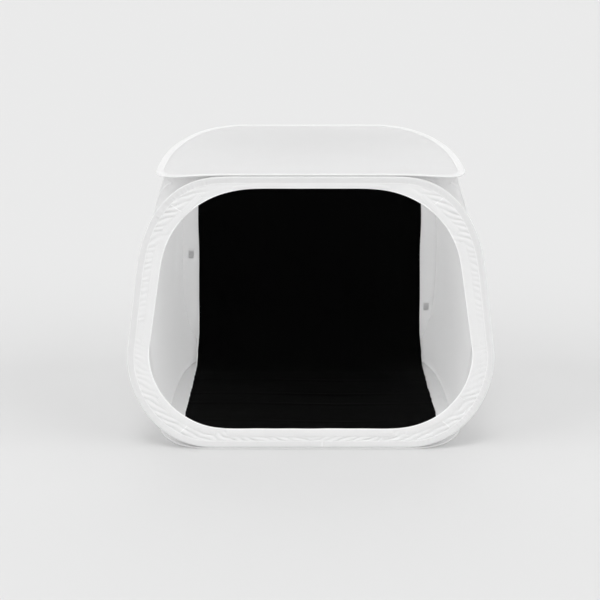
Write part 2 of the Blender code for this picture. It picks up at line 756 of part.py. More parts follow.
def build_backdrop(tent, finishes):
    """The black cloth, a little wider at its front end than where it hangs."""
    profile = backdrop_profile()
    share = line_places(profile) / line_length(profile)
    half = BACKDROP_TOP_HALF_WIDTH + (
        BACKDROP_FRONT_HALF_WIDTH - BACKDROP_TOP_HALF_WIDTH
    ) * smooth(share)
    across = np.linspace(-1, 1, BACKDROP_COLUMNS)
    grid = np.empty((len(profile), BACKDROP_COLUMNS, 3))
    grid[..., 0] = half[:, None] * across[None]
    grid[..., 1:] = profile[:, None]
    backdrop = make_sheet("backdrop", grid, BACKDROP_CLOTH)
    finish(backdrop, tent, finishes["backdrop"], None)


def rectangle(width, height):
    return np.array([(-width, -height), (width, -height), (width, height), (-width, height)]) / 2


def build_patches(tent, finishes, hinges):
    """The patches that the backdrop hangs from, and the two small ones beside it."""
    rise = BACKDROP_TOP - HOOK_PATCH_DROP
    patch = rectangle(HOOK_PATCH_WIDTH, HOOK_PATCH_HEIGHT)
    for side, way in (("left", -1), ("middle", 0), ("right", 1)):
        place = patch + (way * HOOK_PATCH_SPREAD, rise)
        for kind, depth, finish_name in (("loop", PATCH_Y, "tape"), ("hook", HOOK_PATCH_Y, "patch")):
            obj = make_plate(f"{kind}_patch_{side}", [place], TAPE_THICKNESS)
            stand(obj, depth)
            finish(obj, tent, finishes[finish_name], hinges["back"])
    small = rectangle(SIDE_PATCH_WIDTH, SIDE_PATCH_HEIGHT)
    for side, x, z in (
        ("left", -LEFT_PATCH_PLACE, LEFT_PATCH_RISE),
        ("right", RIGHT_PATCH_PLACE, RIGHT_PATCH_RISE),
    ):
        obj = make_plate(f"side_patch_{side}", [small + (x, z)], TAPE_THICKNESS)
        stand(obj, PATCH_Y)
        finish(obj, tent, finishes["patch"], hinges["back"])


def main():
    clear_scene()
    tent = make_collection("light_tent_cube")
    guides = make_collection("guides")
    finishes = materials()
    hinges = hinge_empties(tent)
    loops = hoop_outlines()
    section = sleeve_section(guides)
    build_hoops(loops, section, tent, finishes, hinges)
    build_panels(loops, tent, finishes, hinges)
    build_front_band(loops, tent, finishes, hinges)
    build_webs(loops, tent, finishes, hinges)
    build_walls(loops, tent, finishes)
    build_backdrop(tent, finishes)
    build_patches(tent, finishes, hinges)


main()
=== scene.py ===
"""The looks of a pop-up light tent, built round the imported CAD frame.

Every sewn part is rebuilt as fine cloth: the folded sleeves round the four hoops, the panels, the
band round the opening with its gathers and its hook-and-loop tape, the soft walls and the black
backdrop. The wires inside are rebuilt on the same smooth lines, and their ferrules stay.

Metres, +Z up. The opening faces -Y, and the origin is the middle of the base.
"""

import logging
import math
from dataclasses import dataclass
from enum import Enum
from functools import cache

import bpy
import numpy as np
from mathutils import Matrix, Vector


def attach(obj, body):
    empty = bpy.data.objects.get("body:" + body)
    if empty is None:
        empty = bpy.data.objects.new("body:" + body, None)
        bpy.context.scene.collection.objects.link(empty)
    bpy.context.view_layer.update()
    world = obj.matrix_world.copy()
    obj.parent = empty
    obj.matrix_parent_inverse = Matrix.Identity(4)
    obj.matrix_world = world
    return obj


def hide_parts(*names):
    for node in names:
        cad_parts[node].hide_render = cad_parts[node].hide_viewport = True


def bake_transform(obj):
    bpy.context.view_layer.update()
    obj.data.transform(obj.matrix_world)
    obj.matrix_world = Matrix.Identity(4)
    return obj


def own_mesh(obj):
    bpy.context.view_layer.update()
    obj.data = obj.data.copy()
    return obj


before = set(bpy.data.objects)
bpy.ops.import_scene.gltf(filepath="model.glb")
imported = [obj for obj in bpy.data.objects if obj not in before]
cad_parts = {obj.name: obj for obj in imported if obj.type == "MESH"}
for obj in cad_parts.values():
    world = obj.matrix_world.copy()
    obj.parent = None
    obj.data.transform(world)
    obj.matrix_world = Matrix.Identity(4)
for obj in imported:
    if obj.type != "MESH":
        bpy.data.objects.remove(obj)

logging.basicConfig(level=logging.INFO, format="%(message)s")
log = logging.getLogger("light_tent")

Array = np.ndarray
Piece = bpy.types.Object
Material = bpy.types.Material
SHARP_ANGLE = math.radians(50)
UP = (0.0, 0.0, 1.0)
FORWARD = (0.0, -1.0, 0.0)
MIRROR = (-1.0, 1.0)
TINY = 1e-12
WAVE_SHARES = np.array([0.6, 0.78, 0.95, 1.12, 1.38, 1.7])


# ---------------------------------------------------------------- lines and numbers


def smooth(value: Array) -> Array:
    """Smooth step: 3v^2 - 2v^3, with v held between 0 and 1."""
    value = np.clip(value, 0.0, 1.0)
    return value * value * (3.0 - 2.0 * value)


def unit(ways: Array) -> Array:
    """Each row of a table of directions, at length 1."""
    return ways / np.linalg.norm(ways, axis=1)[:, None]


def places_along(line: Array) -> Array:
    """Length along an open line at each of its points, from 0."""
    steps = np.linalg.norm(np.diff(line, axis=0), axis=1)
    return np.concatenate([[0.0], np.cumsum(steps)])


def read_at(table: Array, along: Array, places: Array) -> Array:
    """Rows of a table at given places, straight between its own rows, which lie at along."""
    return np.column_stack([np.interp(places, along, column) for column in table.T])


def points_at(line: Array, places: Array) -> Array:
    """Points at given lengths along an open line, straight between its own points."""
    return read_at(line, places_along(line), places)


def resample(line: Array, count: int) -> Array:
    """The open line with that many points, spaced evenly along its length."""
    return points_at(line, np.linspace(0.0, places_along(line)[-1], count))


def stretch(line: Array, start: float, end: float, step: float) -> Array:
    """The part of an open line between two lengths along it, in even steps of about step."""
    count = max(2, int(round((end - start) / step)) + 1)
    return points_at(line, np.linspace(start, end, count))


def loop_normals(loop: Array) -> Array:
    """Unit directions into a closed anticlockwise loop, square to its neighbours' chords."""
    chord = unit(np.roll(loop, -1, axis=0) - np.roll(loop, 1, axis=0))
    return np.column_stack([-chord[:, 1], chord[:, 0]])


def inset(loop: Array, distance: float) -> Array:
    """The closed loop moved inwards by a distance, along its own inward directions."""
    return loop + loop_normals(loop) * distance


def loop_places(loop: Array) -> tuple[Array, float]:
    """Length along a closed loop at each point, and the whole length."""
    along = places_along(np.vstack([loop, loop[:1]]))
    return along[:-1], float(along[-1])


def corner_share(loop: Array) -> Array:
    """How much of a corner each point is: the squared sine of twice its inward angle."""
    way = loop_normals(loop)
    return (2.0 * way[:, 0] * way[:, 1]) ** 2


def rounded(loop: Array, window: float) -> Array:
    """The closed loop with its sharp turns eased.

    Each point becomes the mean of its neighbours within half the window to both sides.

    Args:
        loop: evenly spaced points of the closed loop.
        window: the length that each mean takes in.

    Returns:
        The eased points.
    """
    reach = max(1, round(window / 2 * len(loop) / loop_places(loop)[1]))
    padded = np.vstack([loop[-reach:], loop, loop[:reach]])
    total = np.vstack([np.zeros((1, loop.shape[1])), np.cumsum(padded, axis=0)])
    count = 2 * reach + 1
    return (total[count:] - total[:-count]) / count


def ripple(place: Array, whole: float, wavelength: float, seed: int) -> Array:
    """An uneven wave that closes on itself, about 1 high.

    The sum of six sines, each with a whole number of turns in the whole length and a seeded
    phase. Their wavelengths spread from 0.6 to 1.7 of the given one.

    Args:
        place: where along the length to read it.
        whole: the length in which it closes.
        wavelength: the middle wavelength.
        seed: which wave.

    Returns:
        The wave's height at each place.
    """
    random = np.random.default_rng(seed)
    turns = np.maximum(1, np.round(whole / (wavelength * WAVE_SHARES)))
    phases = random.uniform(0.0, math.tau, len(WAVE_SHARES))
    waves = np.sin(math.tau * turns * np.asarray(place)[..., None] / whole + phases)
    return waves.sum(axis=-1) / math.sqrt(len(WAVE_SHARES))


def swell(points: Array, wavelength: float, seed: int) -> Array:
    """A soft uneven swell over a plane, about 1 high: the sum of five sines in seeded directions.

    Args:
        points: the points of the plane, by 2.
        wavelength: the middle wavelength.
        seed: which swell.

    Returns:
        The swell's height at each point.
    """
    random = np.random.default_rng(seed)
    headings = random.uniform(0.0, math.tau, 5)
    lengths = wavelength * random.uniform(0.7, 1.5, 5)
    phases = random.uniform(0.0, math.tau, 5)
    ways = np.stack([np.cos(headings), np.sin(headings)]) / lengths
    return np.sin(math.tau * (points @ ways) + phases).sum(axis=-1) / math.sqrt(5)


def distance_outside(points: Array, loop: Array) -> Array:
    """How far each point lies outside a closed loop: less than 0 inside it.

    The distance is the shortest one to any of the loop's straight edges. A point is inside where
    a line from it crosses the loop an odd number of times.

    Args:
        points: any array of points, by 2.
        loop: the points of the closed loop, by 2.

    Returns:
        The signed distance of each point.
    """
    start = loop[None]
    edge = np.roll(loop, -1, axis=0)[None] - start
    apart = points.reshape(-1, 1, 2) - start
    share = np.clip((apart * edge).sum(-1) / (edge * edge).sum(-1), 0.0, 1.0)
    near = np.linalg.norm(apart - share[..., None] * edge, axis=-1).min(axis=1)
    rise = np.where(edge[..., 1] == 0.0, TINY, edge[..., 1])
    spans = (apart[..., 1] < 0.0) != (apart[..., 1] < edge[..., 1])
    crossing = apart[..., 0] < edge[..., 0] * apart[..., 1] / rise
    inside = (spans & crossing).sum(axis=1) % 2 == 1
    return np.where(inside, -near, near).reshape(points.shape[:-1])


# ---------------------------------------------------------------- outlines of the tent


@dataclass(frozen=True)
class Corner:
    """One kind of corner of an outline, from its straight edge's end to its waist.

    rise is how far the waist lies beyond the outline's low edge.
    """

    straight: float
    rise: float
    round_share: float


@dataclass(frozen=True)
class Outline:
    """A symmetric outline with a low and a high edge, as the CAD source draws it."""

    half_width: float
    low: float
    high: float
    low_corner: Corner
    high_corner: Corner
    taper_share: float = 0.0
    steps: int = 96
    easing: float = 0.060

    def arc(self, corner: Corner, half_width: float, end: float, taper_share: float) -> Array:
        """One corner: a quarter ellipse with its sine and cosine raised to the round share.

        Args:
            corner: the corner's sizes.
            half_width: the width that it reaches at the waist.
            end: the straight edge's place.
            taper_share: how much narrower the width gets for each metre beyond the waist.

        Returns:
            Points from the straight edge's end to the waist.
        """
        turn = np.linspace(0.0, math.pi / 2, self.steps + 1)
        waist = self.low + corner.rise
        along = waist + (end - waist) * np.cos(turn).clip(0.0, 1.0) ** corner.round_share
        reach = half_width - taper_share * (along - waist)
        spread = np.sin(turn) ** corner.round_share
        return np.column_stack([corner.straight + (reach - corner.straight) * spread, along])

    def half(self) -> Array:
        """The right half as an open line, from the low edge's middle to the high edge's.

        Returns:
            The points, by 2.
        """
        low, high = self.low_corner, self.high_corner
        between = (self.low + high.rise) - (self.low + low.rise)
        taken = self.taper_share * between
        lower = self.arc(low, self.half_width, self.low, 0.0)
        upper = self.arc(high, self.half_width - taken, self.high, self.taper_share)[::-1]
        start = 1 if between == 0.0 else 0
        return np.vstack([[(0.0, self.low)], lower, upper[start:], [(0.0, self.high)]])

    def loop(self, count: int) -> Array:
        """The closed outline, an even count of points by 2, anticlockwise from its low middle."""
        # Each half's points are spaced evenly along it, and the left half mirrors the right. The
        # turn where the taper begins is eased, as a sprung wire can't hold it.
        right = resample(self.half(), count // 2 + 1)
        return rounded(np.vstack([right, right[-2:0:-1] * MIRROR]), self.easing)


@dataclass(frozen=True)
class Tent:
    """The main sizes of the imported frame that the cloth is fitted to.

    The outlines are those of the four wires and of the opening's edge in the front band.
    """

    front_hinge: float = -0.6025
    back_hinge: float = 0.6025
    low_hinge: float = 0.00715
    high_hinge: float = 1.11015
    front_plane: float = -0.6060
    back_plane: float = 0.6060
    floor_plane: float = 0.0035
    top_plane: float = 1.1138
    seam_depth: float = 0.0245
    half_thickness: float = 0.0035
    lip_half: float = 0.0017
    droop_start: float = 0.31
    droop: float = 0.015
    droop_length: float = 0.60
    floor: Outline = Outline(
        0.627, -0.6060, 0.5987, Corner(0.42, 0.30, 1.0), Corner(0.42, 0.30, 0.60)
    )
    front: Outline = Outline(
        0.722, 0.0108, 1.1065, Corner(0.40, 0.378, 1.0), Corner(0.31, 0.69, 0.77), 0.135
    )
    back: Outline = Outline(
        0.622, 0.0108, 1.1065, Corner(0.42, 0.50, 0.68), Corner(0.33, 0.50, 0.80)
    )
    top: Outline = Outline(
        0.600, -0.5987, 0.6060, Corner(0.50, 0.13, 1.0), Corner(0.28, 0.13, 0.87)
    )
    opening: Outline = Outline(
        0.640, 0.086, 1.064, Corner(0.33, 0.314, 1.0), Corner(0.185, 0.654, 0.85), 0.156
    )

    def top_droop(self, flat: Array) -> Array:
        """How far the top hoop's front corners hang: droop * sideways^2 * (1 - back)^2.

        Args:
            flat: points of the top hoop's plane, by 2.

        Returns:
            The height to add, 0 or less.
        """
        free = self.top.half_width - self.droop_start
        sideways = np.clip((np.abs(flat[..., 0]) - self.droop_start) / free, 0.0, 1.0)
        back = np.clip((flat[..., 1] - self.top.low) / self.droop_length, 0.0, 1.0)
        return -self.droop * sideways**2 * (1.0 - back) ** 2


TENT = Tent()


class Side(Enum):
    """A side of the tent, with the sign of its X."""

    LEFT = -1
    RIGHT = 1


class Lie(Enum):
    """How a hoop lies: level on XY, or upright on XZ."""

    LEVEL = "level"
    UPRIGHT = "upright"


@dataclass(frozen=True)
class Hoop:
    """A hoop: its outline, its plane and the body that it belongs to.

    outside is the sign of the direction out of the tent, along Z for a level hoop and along Y for
    an upright one.
    """

    name: str
    outline: Outline
    lie: Lie
    plane: float
    outside: int

    @property
    def axis(self) -> tuple[float, float, float]:
        """The direction across its plane."""
        return UP if self.lie is Lie.LEVEL else FORWARD

    def at(self, flat: Array, off: Array | float) -> Array:
        """Points of the hoop's plane in space, moved off it towards the outside.

        Args:
            flat: points of the plane, by 2.
            off: how far each is moved.

        Returns:
            The points in space, by 3.
        """
        first, second = flat[..., 0], flat[..., 1]
        across = self.plane + self.outside * off + np.zeros_like(first)
        if self.name == "top":
            across = across + TENT.top_droop(flat)
        if self.lie is Lie.LEVEL:
            return np.stack([first, second, across], axis=-1)
        return np.stack([first, across, second], axis=-1)


HOOPS = {
    "floor": Hoop("floor", TENT.floor, Lie.LEVEL, TENT.floor_plane, -1),
    "front": Hoop("front", TENT.front, Lie.UPRIGHT, TENT.front_plane, -1),
    "back": Hoop("back", TENT.back, Lie.UPRIGHT, TENT.back_plane, 1),
    "top": Hoop("top", TENT.top, Lie.LEVEL, TENT.top_plane, 1),
}


# ---------------------------------------------------------------- surfaces


@dataclass
class Skin:
    """A surface: its points, and its faces as arrays of corners."""

    points: Array
    faces: list[Array]

    def normals(self) -> Array:
        """Unit direction at each point: the sum of its faces' diagonal cross products.

        Returns:
            The directions, by 3.
        """
        total = np.zeros_like(self.points)
        for faces in self.faces:
            corners = self.points[faces]
            across = np.cross(corners[:, 2] - corners[:, 0], corners[:, -1] - corners[:, 1])
            for column in faces.T:
                np.add.at(total, column, across)
        return total / np.maximum(np.linalg.norm(total, axis=1), TINY)[:, None]

    def triangles(self) -> Array:
        """The three corners of the triangles that fan out from each face's first corner."""
        fans = [f[:, (0, k, k + 1)] for f in self.faces for k in range(1, f.shape[1] - 1)]
        return self.points[np.vstack(fans)].transpose(1, 0, 2)

    def area(self) -> float:
        """The surface's area."""
        first, near, far = self.triangles()
        return float(np.linalg.norm(np.cross(near - first, far - first), axis=1).sum()) / 2.0

    def outward(self) -> "Skin":
        """The closed surface with its faces pointing outwards.

        Its volume is a sixth of the sum of first . (second x third) over its triangles.

        Returns:
            The surface, turned over if its volume is less than 0.
        """
        first, near, far = self.triangles()
        if (first * np.cross(near, far)).sum() >= 0.0:
            return self
        return Skin(self.points, [faces[:, ::-1] for faces in self.faces])

    def thick(self, thickness: float, away: Array | None = None) -> "Skin":
        """The open surface as a closed sheet: two skins half the thickness off it, and a rim.

        Args:
            thickness: the sheet's whole thickness.
            away: the direction off the surface at each point, or None for its own.

        Returns:
            The closed sheet. A rim face stands on each edge that only one face uses.
        """
        count = len(self.points)
        away = (self.normals() if away is None else away) * (thickness / 2.0)
        points = np.vstack([self.points + away, self.points - away])
        edges = np.vstack(
            [np.column_stack([f.ravel(), np.roll(f, -1, axis=1).ravel()]) for f in self.faces]
        )
        key, back = edges @ (count, 1), edges @ (1, count)
        first, second = edges[~np.isin(key, back)].T
        rim = np.column_stack([second, first, first + count, second + count])
        under = [faces[:, ::-1] + count for faces in self.faces]
        return Skin(points, [*self.faces, *under, rim]).outward()


def grid_skin(grid: Array, columns_close: bool = False, rows_close: bool = False) -> Skin:
    """A surface through a grid of points.

    Args:
        grid: rows by columns by 3.
        columns_close: the last column joins the first.
        rows_close: the last row joins the first.

    Returns:
        The surface, one face for each cell.
    """
    rows, columns = grid.shape[:2]
    row = np.arange(rows if rows_close else rows - 1)[:, None]
    column = np.arange(columns if columns_close else columns - 1)[None]
    below, beside = (row + 1) % rows * columns, (column + 1) % columns
    row = row * columns
    corners = [row + column, row + beside, below + beside, below + column]
    return Skin(grid.reshape(-1, 3), [np.stack(corners, axis=-1).reshape(-1, 4)])


def drum_skin(rings: Array, centre: Array) -> Skin:
    """A surface through closed rings that ends in one middle point.

    Args:
        rings: rings by points by 3, the last one next to the middle.
        centre: the middle point.

    Returns:
        The surface, its last ring joined to the middle by triangles.
    """
    skin = grid_skin(rings, columns_close=True)
    count, around = len(skin.points), rings.shape[1]
    last = np.arange(count - around, count)
    fan = np.column_stack([last, np.roll(last, -1), np.full(around, count)])
    return Skin(np.vstack([skin.points, centre[None]]), [*skin.faces, fan])


def stitch_skin(line: Array, facing: Array, pitch: float, size: float) -> Skin:
    """A row of stitches along a line, each a long eight-sided grain.

    A stitch has a tip at each end of its length along the line, and four points round its middle:
    two to its sides and two up and down.

    Args:
        line: points of the open line, by 3.
        facing: the cloth's direction at each point, by 3.
        pitch: from one stitch to the next.
        size: the thread's half width.

    Returns:
        One surface with all the stitches.
    """
    along = places_along(line)
    count = max(1, int(along[-1] / pitch))
    places = (np.arange(count) + 0.5) * along[-1] / count
    reach = pitch * 0.36
    tips = [points_at(line, np.clip(places + move, 0, along[-1])) for move in (reach, -reach)]
    way = unit(tips[0] - tips[1])
    up = unit(read_at(facing, along, places))
    beside = np.cross(way, up)
    moves = [-way * reach, way * reach, beside * size, up * size, -beside * size, -up * size]
    points = points_at(line, places)[:, None] + np.stack(moves, axis=1)
    near = [(0, 3, 2), (0, 4, 3), (0, 5, 4), (0, 2, 5)]
    far = [(1, 2, 3), (1, 3, 4), (1, 4, 5), (1, 5, 2)]
    faces = np.array(near + far)[None] + 6 * np.arange(count)[:, None, None]
    return Skin(points.reshape(-1, 3), [faces.reshape(-1, 3)]).outward()


def tube_skin(line: Array, radius: float, beside: tuple[float, float, float], sides: int) -> Skin:
    """A round cord along an open line, with flat ends.

    Each ring is a circle across the line: radius * (first * cos + second * sin), where first is
    the line's direction crossed with the given one and second the line's crossed with first.

    Args:
        line: points of the open line, by 3.
        radius: half the cord's thickness.
        beside: a direction that the line never takes.
        sides: how many points each ring has.

    Returns:
        The closed cord.
    """
    way = unit(np.gradient(line, axis=0))
    first = unit(np.cross(way, beside))
    second = np.cross(way, first)
    turn = np.linspace(0.0, math.tau, sides + 1)[:-1, None, None]
    rings = line + radius * (first * np.cos(turn) + second * np.sin(turn))
    skin = grid_skin(rings, rows_close=True)
    near = np.arange(sides)[None] * len(line)
    return Skin(skin.points, [*skin.faces, near, near[:, ::-1] + len(line) - 1]).outward()


def joined(skins: list[Skin]) -> Skin:
    """Several surfaces as one, each with its own points.

    Args:
        skins: the surfaces.

    Returns:
        The joined surface.
    """
    starts = np.concatenate([[0], np.cumsum([len(s.points) for s in skins])[:-1]])
    faces = [f + start for s, start in zip(skins, starts) for f in s.faces]
    return Skin(np.vstack([s.points for s in skins]), faces)


# ---------------------------------------------------------------- finishes


def linear(colour: str) -> tuple[float, float, float, float]:
    """A hex sRGB colour as the linear one that a shader reads.

    Args:
        colour: six hex digits after a #.

    Returns:
        Red, green, blue and alpha.
    """
    parts = [int(colour[i : i + 2], 16) / 255.0 for i in (1, 3, 5)]
    parts = [p / 12.92 if p <= 0.04045 else ((p + 0.055) / 1.055) ** 2.4 for p in parts]
    return (*parts, 1.0)


def fill(node: bpy.types.Node, inputs: dict) -> None:
    """Sets a node's inputs, and links those that are given as an output socket.

    Args:
        node: the node.
        inputs: a value or an output socket for each input, by name or number.
    """
    for key, value in inputs.items():
        if isinstance(value, bpy.types.NodeSocket):
            node.id_data.links.new(value, node.inputs[key])
        else:
            node.inputs[key].default_value = value


def add_node(tree: bpy.types.NodeTree, kind: str, inputs: dict, **settings: str) -> bpy.types.Node:
    """Adds a shader node and fills its inputs.

    Args:
        tree: the node tree that it goes into.
        kind: the node's type after "ShaderNode".
        inputs: its inputs, as fill takes them.
        settings: the node's own properties.

    Returns:
        The node.
    """
    node = tree.nodes.new(f"ShaderNode{kind}")
    for key, value in settings.items():
        setattr(node, key, value)
    fill(node, inputs)
    return node


def new_surface(name: str) -> tuple[Material, bpy.types.Node, bpy.types.NodeSocket]:
    """A new material with nodes.

    Args:
        name: its name.

    Returns:
        The material, its Principled shader and the place on the object.
    """
    material = bpy.data.materials.new(name)
    material.use_nodes = True
    place = add_node(material.node_tree, "TexCoord", {}).outputs["Object"]
    return material, material.node_tree.nodes["Principled BSDF"], place


@dataclass(frozen=True)
class Cloth:
    """Woven cloth: its tone, how it scatters and passes light, its threads and its soft creases.

    Sizes are in metres. The tone drifts between colour and shade over drift_size. The threads are
    a grid of fine waves, and the creases a low relief.
    """

    name: str
    colour: str
    shade: str
    roughness: float
    sheen: float
    passing: float
    thread_pitch: float
    thread_height: float
    crease_size: float
    crease_height: float
    specular: float = 0.25
    drift_size: float = 0.22
    through: str = "#fdfdfd"

    def make(self) -> Material:
        """The cloth's material.

        Returns:
            A Principled surface, mixed with a translucent one where light passes through.
        """
        material, shader, place = new_surface(self.name)
        tree = material.node_tree
        drift, crease = (
            add_node(tree, "TexNoise", {"Vector": place, "Scale": 1.0 / size, "Detail": detail})
            for size, detail in ((self.drift_size, 3.0), (self.crease_size, 2.0))
        )
        shades = {0: drift.outputs["Fac"], 6: linear(self.shade), 7: linear(self.colour)}
        tone = add_node(tree, "Mix", shades, data_type="RGBA")
        scale = {0: place, "Scale": math.tau / self.thread_pitch}
        threads = add_node(tree, "VectorMath", scale, operation="SCALE")
        waves = add_node(tree, "VectorMath", {0: threads.outputs[0]}, operation="SINE")
        both = {0: waves.outputs[0], 1: (1.0, 1.0, 1.0)}
        weave = add_node(tree, "VectorMath", both, operation="DOT_PRODUCT")
        low = {"Height": crease.outputs["Fac"], "Distance": self.crease_height, "Strength": 1.0}
        relief = add_node(tree, "Bump", low)
        fine = {"Height": weave.outputs["Value"], "Distance": self.thread_height, "Strength": 1.0}
        bump = add_node(tree, "Bump", {**fine, "Normal": relief.outputs["Normal"]})
        fill(shader, {"Base Color": tone.outputs[2], "Normal": bump.outputs["Normal"]})
        fill(shader, {"Roughness": self.roughness, "Specular IOR Level": self.specular})
        fill(shader, {"Sheen Weight": self.sheen, "Sheen Roughness": 0.5})
        if self.passing > 0.0:
            through = add_node(tree, "BsdfTranslucent", {"Color": linear(self.through)})
            mixed = {0: self.passing, 1: shader.outputs[0], 2: through.outputs[0]}
            surface = add_node(tree, "MixShader", mixed).outputs[0]
            fill(tree.nodes["Material Output"], {"Surface": surface})
        return material


@dataclass(frozen=True)
class Metal:
    """Drawn metal: its tone and polish, with fine streaks in its roughness."""

    name: str
    colour: str
    roughness: float
    streak_size: float
    wear: float = 0.08

    def make(self) -> Material:
        """The metal's material.

        Returns:
            A metallic Principled surface with uneven roughness.
        """
        material, shader, place = new_surface(self.name)
        tree = material.node_tree
        streaks = add_node(tree, "TexNoise", {"Vector": place, "Scale": 1.0 / self.streak_size})
        span = {"To Min": self.roughness - self.wear, "To Max": self.roughness + self.wear}
        wear = add_node(tree, "MapRange", {"Value": streaks.outputs["Fac"], **span})
        fill(shader, {"Base Color": linear(self.colour), "Metallic": 1.0})
        fill(shader, {"Roughness": wear.outputs[0]})
        return material


FINISHES = {
    # Double nylon of the hoop sleeves: bright, with the faint shine of filament yarn
    "sleeve": Cloth(
        "white_nylon_sleeve", "#f4f4f4", "#f0f0f0", 0.62, 0.10, 0.32,
        0.0009, 0.00004, 0.020, 0.00050,
    ),
    # Single diffusing nylon of the top and back: light passes, so it looks a little grey
    "panel": Cloth(
        "diffusing_nylon_panel", "#f4f4f4", "#f0f0f0", 0.70, 0.08, 0.58,
        0.0008, 0.00003, 0.060, 0.00060,
    ),
    # The soft walls: the same nylon, with broader creases
    "wall": Cloth(
        "diffusing_nylon_wall", "#f4f4f4", "#efefef", 0.72, 0.08, 0.61,
        0.0008, 0.00003, 0.050, 0.00080,
    ),
    # The floor has the black cloth and the ground under it, so little light comes through. Its
    # colour is whiter than the other nylon's: painted light for the dim inside of the floor
    "floor": Cloth(
        "diffusing_nylon_floor", "#fcfcfc", "#f9f9f9", 0.70, 0.08, 0.06,
        0.0008, 0.00003, 0.060, 0.00060,
    ),
    # The band round the opening: doubled nylon
    "band": Cloth(
        "white_nylon_band", "#f2f2f2", "#eeeeee", 0.64, 0.10, 0.10,
        0.0009, 0.00004, 0.016, 0.00050,
    ),
    # Loop side of the tape: brushed loops that scatter light evenly, as pale as the band
    "tape": Cloth(
        "brushed_loop_tape", "#f1f1f1", "#eeeeee", 0.92, 0.18, 0.0,
        0.0013, 0.00012, 0.004, 0.00030,
    ),
    # Bound edges and seams: four layers pressed flat
    "binding": Cloth(
        "white_edge_binding", "#fdfdfd", "#fafafa", 0.60, 0.10, 0.0,
        0.0007, 0.00004, 0.006, 0.00010,
    ),
    # Grey loop patches on the back panel
    "patch": Cloth(
        "grey_loop_patch", "#dcdcdc", "#d4d4d4", 0.95, 0.20, 0.50,
        0.0013, 0.00012, 0.003, 0.00030,
    ),
    # Black velvet-like cloth that swallows the light
    "backdrop": Cloth(
        "matt_black_backdrop", "#070707", "#040404", 0.92, 0.005, 0.0,
        0.0008, 0.00004, 0.050, 0.00120, specular=0.03,
    ),
    # Bonded polyester thread
    "thread": Cloth(
        "white_sewing_thread", "#fcfcfc", "#f4f4f4", 0.50, 0.15, 0.0,
        0.0004, 0.00003, 0.004, 0.00005,
    ),
    # Tempered steel wire and the crimped tube on it
    "steel": Metal("tempered_spring_steel", "#8b8d92", 0.36, 0.004),
    "aluminium": Metal("crimped_aluminium", "#cfd0d2", 0.42, 0.003),
}


@cache
def finish(name: str) -> Material:
    """The material of that name, made when it is first asked for."""
    return FINISHES[name].make()


# ---------------------------------------------------------------- pieces


def put(name: str, skin: Skin, material: Material) -> Piece:
    """Makes an object of a surface, smooth but for its sharp edges.

    Args:
        name: the piece's name.
        skin: the surface.
        material: its material.

    Returns:
        The object, linked to the scene.
    """
    mesh = bpy.data.meshes.new(name)
    corners = np.concatenate([faces.ravel() for faces in skin.faces])
    counts = np.concatenate([np.full(len(faces), faces.shape[1]) for faces in skin.faces])
    starts = np.concatenate([[0], np.cumsum(counts)[:-1]])
    mesh.vertices.add(len(skin.points))
    mesh.vertices.foreach_set("co", skin.points.astype(np.float32).ravel())
    mesh.loops.add(len(corners))
    mesh.loops.foreach_set("vertex_index", corners.astype(np.int32))
    mesh.polygons.add(len(counts))
    mesh.polygons.foreach_set("loop_start", starts.astype(np.int32))
    mesh.update(calc_edges=True)
    mesh.validate()
    mesh.polygons.foreach_set("use_smooth", np.ones(len(mesh.polygons), dtype=bool))
    mesh.set_sharp_from_angle(angle=SHARP_ANGLE)
    mesh.materials.append(material)
    piece = bpy.data.objects.new(name, mesh)
    bpy.context.scene.collection.objects.link(piece)
    log.info("%s: %d faces", name, len(mesh.polygons))
    return piece


def sew(name: str, skin: Skin, look: str, body: str = "", node: str = "") -> Piece:
    """Makes a piece of the tent, hides the CAD part that it replaces and hangs it on its body.

    Args:
        name: the piece's name.
        skin: its surface.
        look: the name of its finish.
        body: the body that it rides, if it rides a single one.
        node: the CAD node that it replaces, if it does.

    Returns:
        The piece.
    """
    piece = put(name, skin, finish(look))
    if node:
        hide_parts(node)
    if body:
        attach(piece, body)
    return piece


def bind(piece: Piece, bound: Array) -> None:
    """Gives a piece's faces, where bound says so, the finish of a bound edge."""
    piece.data.materials.append(finish("binding"))
    piece.data.polygons.foreach_set("material_index", bound.astype(np.int32))


@dataclass
class Wire:
    """A hoop's spring wire, open by a hair where its ends meet in the ferrule."""

    hoop: Hoop
    joint_high: bool
    radius: float = 0.0018
    end_gap: float = 0.0006
    points: int = 2000
    step: float = 0.003
    sides: int = 10

    def build(self) -> None:
        """The wire along its hoop's line, from one end in the ferrule round to the other."""
        name, loop = self.hoop.name, self.hoop.outline.loop(self.points)
        if self.joint_high:
            loop = np.roll(loop, len(loop) // 2, axis=0)
        end = loop_places(loop)[1] - self.end_gap / 2
        line = stretch(np.vstack([loop, loop[:1]]), self.end_gap / 2, end, self.step)
        skin = tube_skin(self.hoop.at(line, 0.0), self.radius, self.hoop.axis, self.sides)
        sew(f"{name}_wire_steel", skin, "steel", name, f"{name}_hoop_wire")


